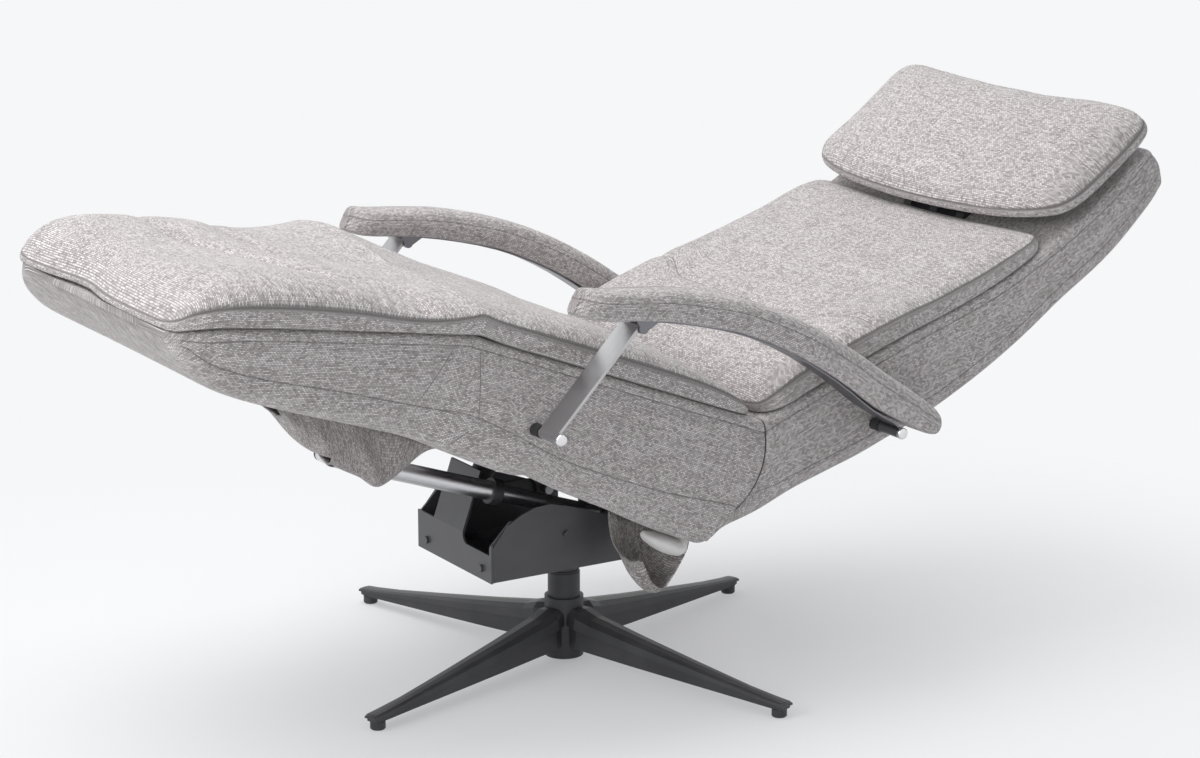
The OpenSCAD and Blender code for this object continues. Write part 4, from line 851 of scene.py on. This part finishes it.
def end_faces(start, n, flip):
    """Strips that close a ring of n points, from its first point to the one opposite."""
    half = n // 2
    faces = []
    for j in range(half - 1):
        strip = [start + i for i in (j, j + 1, n - j - 1, n - j)]
        strip = strip if j else strip[:3]
        faces.append(tuple(reversed(strip)) if flip else tuple(strip))
    return faces + [(start + half - 1, start + half, start + half + 1)]


def loft_cover(name, rows, inner=False, seed=1.0):
    """Solid through the rings of a cover, with its ends closed."""
    rings = [cover_ring(row, inner) for row in rows]
    points, cloth, seam = [], [], []
    travelled = 0.0
    for i, ring in enumerate(rings):
        if i:
            travelled += (Vector(rows[i][0:2]) - Vector(rows[i - 1][0:2])).length * 0.5
            travelled += (Vector(rows[i][2:4]) - Vector(rows[i - 1][2:4])).length * 0.5
        around = 0.0
        for j, (p, mask) in enumerate(ring):
            around += (p - ring[j - 1][0]).length if j else 0.0
            if not inner and abs(p[0]) > SIDES_FROM:
                outward = Vector((copysign(1, p[0]), 0, 0))
                p = p + outward * (SIDE_UNREST * crumple(p, 0.07, seed))
            points.append(p)
            cloth.append((travelled, around))
            seam.append(mask)
    n = len(rings[0])
    faces = tube_faces(n, len(rings))
    faces += end_faces(0, n, False) + end_faces((len(rings) - 1) * n, n, True)
    return new_piece(name, points, faces, cloth, seam, CLOTH)


def prism(outline, half_w):
    """Solid between -half_w and half_w over an outline of the side view."""
    n = len(outline)
    points = [side_point(s * half_w, p) for s in (-1, 1) for p in outline]
    faces = [tuple(range(n)), tuple(range(2 * n - 1, n - 1, -1))]
    return new_piece("tool", points, faces + tube_faces(n, 2))


def cut(piece, tool):
    """Takes a closed tool out of a piece, and deletes it."""
    clean_normals(tool)
    apply_modifier(piece, "BOOLEAN", operation="DIFFERENCE", object=tool, solver="EXACT")
    bpy.data.objects.remove(tool)


def cut_box(piece, at, us, vs, half_w, x=0.0):
    """Cuts a box along u and v of a side view frame, around x across."""
    tool = prism([at(us[0], vs[0]), at(us[1], vs[0]), at(us[1], vs[1]), at(us[0], vs[1])], half_w)
    tool.location.x = x
    cut(piece, tool)


def cover_row(at, top, low, half_share, bow, seam_share):
    """Row of a cover: its top and low point in one side view frame, the share of the half
    width, how far its middle bows along u, and the share of its depth down to the low seam."""
    a, b = at(*top), at(*low)
    along = at(bow, 0) - at(0, 0)
    return [*a, *b, half_share * BODY_HALF, *along, seam_share]


# Rings from each row of a cover to the next; the leg rest's first rings and the back's last
# ones stay solid
COVER_STEPS = 5
LEG_SOLID_RINGS, BACK_HOLLOW_RINGS = 32, 36


def leg_seat_rows():
    """Rings of the cover from the feet to the rear edge of the seat."""
    leg = [
        ((0.4268, -0.0165), (0.4272, -0.026), 0.81, -0.022, 0.25),
        ((0.4262, -0.0153), (0.4258, -0.0345), 0.845, -0.02, 0.27),
        ((0.4228, -0.0147), (0.4212, -0.044), 0.885, -0.017, 0.31),
        ((0.415, -0.0125), (0.4125, -0.056), 0.925, -0.013, 0.36),
        ((0.4, -0.0083), (0.399, -0.068), 0.958, -0.008, 0.5),
        ((0.382, -0.0055), (0.3845, -0.078), 0.98, -0.005, 0.58),
        ((0.344, -0.0022), (0.356, -0.0905), 0.993, -0.0025, 0.63),
        ((0.2795, -0.0003), (0.301, -0.1045), 0.998, -0.001, 0.65),
        ((0.189, -0.0006), (0.215, -0.1205), 0.998, 0, 0.65),
        ((0.086, -0.001), (0.138, -0.1339), 0.99, 0, 0.68),
        ((0.008, -0.0015), (0.074, -0.1465), 0.988, 0, 0.69),
    ]
    seat = [
        ((0.004, -0.002), (0.034, -0.166), 0.99, 0, 0.63),
        ((0.05, -0.003), (0.124, -0.172), 0.996, 0, 0.655),
        ((0.089, -0.003), (0.168, -0.1655), 1, 0, 0.74),
        ((0.168, -0.003), (0.215, -0.176), 1, 0, 0.745),
        ((0.266, -0.003), (0.301, -0.184), 1, 0, 0.735),
        ((0.365, -0.003), (0.38, -0.194), 1, 0, 0.7),
        ((0.454, -0.003), (0.458, -0.198), 0.998, 0, 0.66),
        ((0.523, -0.003), (0.523, -0.198), 0.996, 0, 0.65),
    ]
    rows = [cover_row(leg_at, *row) for row in leg] + [cover_row(seat_at, *row) for row in seat]
    return smooth_rows(rows, COVER_STEPS)


TAIL_KNEE_DROP, TAIL_END_U, TAIL_STEPS = 0.13, 0.462, 40
# Half width of a tool that cuts right across, and of the bay for the mechanism
RIGHT_ACROSS, BAY_HALF = 0.4, 0.131


def tail_curve(gap):
    """Rear outline of the seat from over the back hinge down to its bottom."""
    r = TAIL_RADIUS + gap
    last = asin((TAIL_KNEE_DROP - BACK_HINGE_DROP) / r)
    found = []
    for i in range(TAIL_STEPS + 1):
        a = pi / 2 - (pi / 2 + last) * i / TAIL_STEPS
        found.append(seat_at(BACK_HINGE_U + r * cos(a), -BACK_HINGE_DROP + r * sin(a)))
    found.append(seat_at(TAIL_END_U + gap, -SEAT_DEPTH))
    found.append(seat_at(TAIL_END_U + gap, -SEAT_DEPTH - 0.05))
    return found


def make_leg_seat_cover():
    rows = leg_seat_rows()
    cover = finish_soft(loft_cover("leg_seat_cover", rows, seed=2.0))
    cut(cover, loft_cover("hollow", rows[LEG_SOLID_RINGS:], inner=True))
    behind = tail_curve(0) + [seat_at(0.75, -0.25), seat_at(0.75, 0.12), seat_at(0.395, 0.12)]
    cut(cover, prism(behind, RIGHT_ACROSS))
    cut_box(cover, seat_at, (0.15, 0.48), (-0.1, -0.24), BAY_HALF)
    cut_box(cover, leg_at, (0.042, 0.112), (-0.07, -0.2), 0.021, x=0.052)
    shade_by_angle(cover)
    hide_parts("leg_shell", "knee_gusset", "seat_shell")
    return cover


def make_back_cover():
    # Top and low point as shares of the back's length and depth, half width, low seam
    table = [
        (-0.19, -1, -0.19, -1.1, 0.94, 0.5),
        (-0.15, -0.42, -0.14, -1.09, 0.98, 0.6),
        (-0.08, -0.06, -0.08, -1.14, 1, 0.68),
        (0, -0.03, 0, -1.18, 1, 0.8),
        (0.09, -0.07, 0.09, -1.27, 1, 0.86),
        (0.18, -0.12, 0.18, -1.36, 1, 0.9),
        (0.34, -0.22, 0.35, -1.44, 1, 0.92),
        (0.52, -0.36, 0.53, -1.38, 1, 0.92),
        (0.66, -0.36, 0.67, -1.22, 1, 0.9),
        (0.8, -0.27, 0.81, -1.09, 0.995, 0.88),
        (0.9, -0.14, 0.93, -0.86, 0.985, 0.84),
        (0.955, -0.04, 0.978, -0.74, 0.968, 0.8),
        (0.968, -0.045, 0.99, -0.69, 0.958, 0.78),
        (0.985, -0.1, 1, -0.54, 0.93, 0.7),
        (0.99, -0.17, 1.003, -0.42, 0.91, 0.6),
    ]
    rows = smooth_rows([
        cover_row(back_at, (a * BACK_LEN, b * BACK_DEPTH), (c * BACK_LEN, d * BACK_DEPTH), w, 0, m)
        for a, b, c, d, w, m in table
    ], COVER_STEPS)
    cover = finish_soft(loft_cover("back_cover", rows, seed=3.0))
    cut(cover, loft_cover("hollow", rows[:BACK_HOLLOW_RINGS], inner=True))
    front = [seat_at(0.15, -SEAT_DEPTH - 0.05), seat_at(0.15, 0.06), seat_at(0.395, 0.06)]
    cut(cover, prism(tail_curve(TAIL_GAP) + front, RIGHT_ACROSS))
    cut_box(cover, back_at, (-0.3, -0.095), (-0.05, -0.2), BAY_HALF)
    shade_by_angle(cover)
    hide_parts("back_shell")
    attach(cover, "back")


# Armrest pads

ARM_X, ARM_HALF_W = 0.333, 0.032
ARM_PIN = back_at(0.16, -0.11)
STRUT_FOOT = seat_at(0.13, -0.1)
STRUT_HEAD = STRUT_FOOT + turned(0.188, 0, LEAN)
ARM_REACH = (STRUT_HEAD - ARM_PIN).length
ARM_DIR = (STRUT_HEAD - ARM_PIN).normalized()
# Centre line and half thickness, as shares of the way from pin to strut: along, off, half
ARM_SHARES = [
    (1.2155, 0.002, 0.034), (1.21, 0.003, 0.038), (1.2, 0.004, 0.041),
    (1.183, 0.007, 0.043), (1.165, 0.011, 0.044), (1.14, 0.018, 0.045), (1.088, 0.036, 0.046),
    (1, 0.067, 0.047), (0.89, 0.1, 0.048), (0.681, 0.139, 0.048), (0.478, 0.145, 0.05),
    (0.286, 0.126, 0.053), (0.124, 0.096, 0.055), (0, 0.081, 0.05), (-0.083, 0.071, 0.044),
    (-0.113, 0.067, 0.036), (-0.126, 0.065, 0.026), (-0.131, 0.064, 0.013),
]
# Length of the rounded front, and half thickness under which the arm narrows
ARM_NOSE, ARM_THIN = 0.036, 0.018
ARM_STEPS, ARM_UNREST = 5, 0.0006
# Half section as shares of half width and half thickness, from the middle of the top
ARM_SECTION = [
    (0, 1), (0.36, 0.965), (0.62, 0.86), (0.79, 0.68), (0.895, 0.44), (0.945, 0.2),
    (0.975, 0.1), (1, -0.05), (1, -0.4), (0.97, -0.72), (0.88, -0.92),
    (0.7, -1), (0.35, -1), (0, -1),
]
# Point of the half section that lies on the seam
ARM_SEAM = 5


def arm_section(half_w, half_t):
    """Points of an armrest's section and the signed distance of each from its seam."""
    half = [(x * half_w, y * half_t) for x, y in ARM_SECTION]
    walked = [0.0]
    for a, b in zip(half, half[1:]):
        walked.append(walked[-1] + dist(a, b))
    half = [(x, y, walked[ARM_SEAM] - d) for (x, y), d in zip(half, walked)]
    return half + [(-x, y, d) for x, y, d in reversed(half[1:-1])]


def arm_half_width(along, half_t):
    """Half width at a share along the arm: rounded in front, and less where it is thin."""
    from_front = (ARM_SHARES[0][0] - along) * ARM_REACH
    rounding = 1 - max(0.0, 1 - from_front / ARM_NOSE) ** 2
    half_w = ARM_HALF_W * sqrt(max(rounding, 0.1))
    return half_w * min(1.0, 0.62 + 0.38 * half_t / ARM_THIN)


def make_arm(name, node, body, side):
    across = Vector((ARM_DIR[1], -ARM_DIR[0]))
    points, cloth, seam = [], [], []
    rows = smooth_rows(ARM_SHARES, ARM_STEPS)
    walked, last = 0.0, None
    for row in rows:
        centre = ARM_PIN + ARM_DIR * row[0] * ARM_REACH + across * row[1] * ARM_REACH
        walked += (centre - last).length if last else 0.0
        last = centre
        half_t = row[2] * ARM_REACH
        around = 0.0
        section = arm_section(arm_half_width(row[0], half_t), half_t)
        for k, (dx, dy, distance) in enumerate(section):
            p = side_point(side * ARM_X + dx, centre + across * dy)
            p = p + UP * ARM_UNREST * crumple(p, 0.03, 9 + side)
            around += (p - points[-1]).length if k else 0.0
            points.append(p)
            cloth.append((walked, around))
            seam.append(distance)
    n = 2 * len(ARM_SECTION) - 2
    faces = tube_faces(n, len(rows))
    faces.append(tuple(range(n)))
    faces.append(tuple(reversed(range(len(points) - n, len(points)))))
    arm = finish_soft(new_piece(name, points, faces, cloth, seam, CLOTH))
    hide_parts(node)
    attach(arm, body)


# Hung cloth and sewn lines

SHEET_COLUMNS, SHEET_RINGS, HEM_RINGS = 18, 26, 5
SHEET_SINK, SHEET_THICKNESS, SHEET_UNREST = 0.0025, 0.0022, 0.0035
# Where rays start, under the floor and beside the body
RAY_LOW, RAY_ASIDE = -0.2, 0.6


def surface_of(piece):
    """Finder of points on a finished piece."""
    return BVHTree.FromObject(piece, bpy.context.evaluated_depsgraph_get())


def underside(tree, x, y):
    """Height of a piece's underside at a place of the floor."""
    return tree.ray_cast(Vector((x, y, RAY_LOW)), UP)[0][2]


def hung_cloth(name, tree, x_mid, half_w, start, end, low, lean, folds, seed, last_angle=180):
    """Cloth that hangs from the underside in a trough, as one sheet.

    start and end are its ends in Y; low(u) is the height of its lowest line and half_w(u)
    its half width; lean(u) moves the lowest line in Y. folds are (u, slope, depth, width).
    """
    points, cloth = [], []
    for i in range(SHEET_RINGS + 1):
        u = i / SHEET_RINGS
        y_top = start + (end - start) * u
        walked = 0.0
        for j in range(SHEET_COLUMNS + 1):
            a = radians(last_angle) * j / SHEET_COLUMNS
            depth = sin(a) ** 0.6 if 0 < a < pi else 0.0
            x = x_mid - half_w(u) * cos(a)
            top = underside(tree, x, y_top) - SHEET_SINK
            y = y_top + lean(u) * depth
            z = top + (low(u) - top) * depth
            out = 0.0
            for centre, slope, deep, width in folds:
                out += deep * bell(u, centre + slope * depth, width)
            out += SHEET_UNREST * crumple((x, y, z), 0.05, seed) * depth
            points.append(Vector((x - out * cos(a), y, z - abs(out) * 0.3)))
            walked += (points[-1] - points[-2]).length if j else 0.0
            cloth.append((walked, y_top * 1.2))
    n = SHEET_COLUMNS + 1
    faces = [
        (i * n + j, i * n + j + 1, (i + 1) * n + j + 1, (i + 1) * n + j)
        for i in range(SHEET_RINGS) for j in range(SHEET_COLUMNS)
    ]
    from_end = [min(i, SHEET_RINGS - i) for i in range(SHEET_RINGS + 1) for _ in range(n)]
    seam = [
        k / SHEET_RINGS * (end - start) + 0.0005 if k < HEM_RINGS else NO_SEAM for k in from_end
    ]
    # The hung sheet takes the darker copy of the cloth, painted shade for the underside
    piece = new_piece(name, points, faces, cloth, seam, CLOTH_SHADED)
    apply_modifier(piece, "SUBSURF", levels=1, render_levels=1)
    apply_modifier(piece, "SOLIDIFY", thickness=SHEET_THICKNESS, offset=0)
    bpy.ops.object.shade_smooth()
    return piece


THREAD_STEP, THREAD_HALF, THREAD_HEIGHT, THREAD_LIFT = 0.004, 0.0007, 0.0006, 0.0002


def sewn_line(name, tree, path, side):
    """Dark seam thread on the side of a cover along a path of Y and Z."""
    spots = []
    for a, b in zip(path, path[1:]):
        count = max(1, round(dist(a, b) / THREAD_STEP))
        for i in range(count + (b == path[-1])):
            y, z = (a[k] + (b[k] - a[k]) * i / count for k in (0, 1))
            place, normal, _, _ = tree.ray_cast(Vector((side * RAY_ASIDE, y, z)), Vector((-side, 0, 0)))
            if place:
                spots.append(place + normal * THREAD_LIFT)
    points = []
    for i, spot in enumerate(spots):
        run = (spots[min(i + 1, len(spots) - 1)] - spots[max(i - 1, 0)]).normalized()
        out = Vector((side, 0, 0))
        wide = run.cross(out).normalized() * THREAD_HALF
        high = out * THREAD_HEIGHT
        points += [spot + wide, spot + high, spot - wide, spot - high]
    faces = tube_faces(4, len(spots))
    faces += [(0, 1, 2, 3), tuple(len(points) - 1 - i for i in range(4))]
    piece = new_piece(name, points, faces, material=THREAD)
    clean_normals(piece)
    return piece


def make_linings(tree):
    """Cloth that hangs under the leg rest and behind the mechanism."""
    band = hung_cloth(
        "lining_band", tree, 0.116, lambda u: 0.037 - 0.005 * u, -0.548, -0.44,
        track([(0, 0.47), (0.25, 0.43), (0.5, 0.408), (0.8, 0.396), (1, 0.389)]),
        lambda u: 0.03 + 0.012 * u,
        [(0.45, 0.2, 0.004, 0.1), (0.82, 0.1, -0.003, 0.07)], seed=11.0,
    )
    pouch = hung_cloth(
        "lining_pouch", tree, 0.118, lambda u: 0.034 - 0.006 * sin(pi * u), -0.475, -0.268,
        track([(0, 0.392), (0.14, 0.38), (0.3, 0.366), (0.45, 0.35), (0.62, 0.362), (0.8, 0.388),
               (0.92, 0.406), (1, 0.428)]),
        lambda u: 0.03 * (1 - u) - 0.012 * u,
        [(0.18, 0.25, 0.005, 0.07), (0.42, 0.1, -0.004, 0.08), (0.72, -0.2, 0.004, 0.09)], seed=12.0,
    )
    rear = hung_cloth(
        "rear_lining", tree, 0.2, lambda u: 0.05, -0.016, 0.072,
        track([(0, 0.205), (0.2, 0.168), (0.4, 0.154), (0.65, 0.176), (0.85, 0.204), (1, 0.228)]),
        lambda u: 0.004, [(0.35, 0.1, 0.004, 0.12), (0.7, 0.1, -0.003, 0.1)], seed=13.0,
        last_angle=128,
    )
    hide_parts("front_flap")
    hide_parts("front_flap")
    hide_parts("rear_flap")
    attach(rear, "seat")
    for piece in (band, pouch):
        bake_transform(piece)


# Paths of Y and Z of the seams in the knee gusset
GUSSET_SEAMS = {
    "knee_seam_upright": [(-0.3, 0.563), (-0.3015, 0.52), (-0.303, 0.475)],
    "knee_seam_slanted": [(-0.341, 0.571), (-0.366, 0.541), (-0.391, 0.512)],
    "knee_seam_low": [(-0.318, 0.459), (-0.333, 0.45), (-0.347, 0.442)],
}


def make_gusset_seams(tree):
    for name, path in GUSSET_SEAMS.items():
        for word, side in SIDES:
            piece = sewn_line(f"{name}_{word}", tree, path, side)
            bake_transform(piece)


WADDING_X, WADDING_Y, WADDING_SINK = 0.218, 0.045, 0.017
WADDING_RINGS, WADDING_COLUMNS = 10, 16


def make_wadding(tree):
    """Loose pale filling that shows under the rear edge of the seat."""
    points = []
    for i in range(WADDING_RINGS + 1):
        a = pi * i / WADDING_RINGS
        for j in range(WADDING_COLUMNS):
            b = 2 * pi * j / WADDING_COLUMNS
            p = Vector((
                0.036 * sin(a) * cos(b), -0.046 * cos(a),
                0.016 * sin(a) * sin(b),
            ))
            p = p * (1 + 0.16 * crumple(p, 0.016, 21.0))
            x, y = WADDING_X + p[0], WADDING_Y + p[1]
            points.append(Vector((x, y, underside(tree, x, y) - WADDING_SINK + p[2])))
    faces = tube_faces(WADDING_COLUMNS, WADDING_RINGS + 1)
    piece = finish_soft(new_piece("seat_wadding", points, faces, material=WADDING))
    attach(piece, "seat")


long_pad = make_long_pad()
make_back_pad()
make_pillow()
leg_seat_cover = make_leg_seat_cover()
make_back_cover()
for word, side in SIDES:
    make_arm(f"armrest_{word}", f"arm_pad_{word}", f"arm_{word}", side)
cover_surface = surface_of(leg_seat_cover)
make_linings(cover_surface)
make_gusset_seams(cover_surface)
make_wadding(cover_surface)


# Stage, lamps and camera


def seen_itself(tree):
    """1 where the camera or a reflection sees it, 0 where it lights the object."""
    path = add_node(tree, "LightPath").outputs
    seen = maths(tree, "MAXIMUM", path["Is Camera Ray"], path["Is Glossy Ray"])
    return maths(tree, "MAXIMUM", seen, path["Is Transmission Ray"])


def show_mix(tree, output, share, first, second):
    """Shows a mix of two shaders at an output node."""
    mix = add_node(tree, "MixShader", {0: share, 1: first.outputs[0], 2: second.outputs[0]})
    tree.links.new(mix.outputs[0], tree.nodes[output].inputs["Surface"])


FLOOR_SIZE, FLOOR_DROP = 40, 0.0005


def make_stage():
    """Pale floor that turns into the white background further off."""
    bpy.ops.object.select_all(action="DESELECT")
    bpy.ops.mesh.primitive_plane_add(size=FLOOR_SIZE, location=(0, 0, -FLOOR_DROP))
    floor = bpy.context.active_object
    floor.name = "studio_floor"
    material, tree, shader = new_material("studio_floor", {
        "Base Color": (0.8, 0.8, 0.805, 1), "Roughness": 0.85, "Specular IOR Level": 0.1,
    })
    glow = add_node(tree, "Emission", {"Color": (0.925, 0.93, 0.938, 1), "Strength": 1.0})
    place = add_node(tree, "TexCoord").outputs["Object"]
    far = add_node(tree, "VectorMath", {"operation": "LENGTH", 0: place})
    beyond = add_node(tree, "MapRange", {
        "From Min": 0.35, "From Max": 1.5, "To Min": 0.36, "To Max": 1.0,
        "Value": far.outputs["Value"],
    })
    share = maths(tree, "MULTIPLY", seen_itself(tree), beyond.outputs[0])
    show_mix(tree, "Material Output", share, shader, glow)
    floor.data.materials.append(material)


def make_world():
    world = bpy.data.worlds.new("studio")
    bpy.context.scene.world = world
    world.use_nodes = True
    tree = world.node_tree
    dim = tree.nodes["Background"]
    dim.inputs["Color"].default_value = (0.94, 0.96, 1.0, 1)
    dim.inputs["Strength"].default_value = 0.62
    white = add_node(tree, "Background", {"Color": (0.955, 0.965, 0.965, 1), "Strength": 1.0})
    show_mix(tree, "World Output", seen_itself(tree), dim, white)


def aim(thing, place, direction):
    """Puts a lamp or camera at a place and turns it along a direction."""
    thing.location = place
    thing.rotation_euler = direction.to_track_quat("-Z", "Y").to_euler()


LAMP_TARGET = Vector((0, 0, 0.5))


def area_lamp(name, place, size, power):
    lamp = bpy.data.lights.new(name, "AREA")
    lamp.shape = "DISK"
    lamp.size = size
    lamp.energy = power
    aim(new_object(name, lamp), place, LAMP_TARGET - Vector(place))


CAMERA_PLACE = Vector((3.795, -2.271, 1.539))
CAMERA_LOOK = Vector((-0.826, 0.508, -0.244))
LENS_MM, SENSOR_MM = 93.75, 36


def make_camera():
    data = bpy.data.cameras.new("camera")
    data.lens = LENS_MM
    data.sensor_width = SENSOR_MM
    camera = new_object("camera", data)
    aim(camera, CAMERA_PLACE, CAMERA_LOOK)
    bpy.context.scene.camera = camera


make_stage()
make_world()
area_lamp("top_lamp", (-0.6, -0.6, 3.2), 2.6, 66)
area_lamp("front_lamp", (0.4, -3.6, 2.2), 2.2, 47)
make_camera()
bpy.context.scene.view_settings.view_transform = "Standard"

for piece in (long_pad, leg_seat_cover):
    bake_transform(piece)
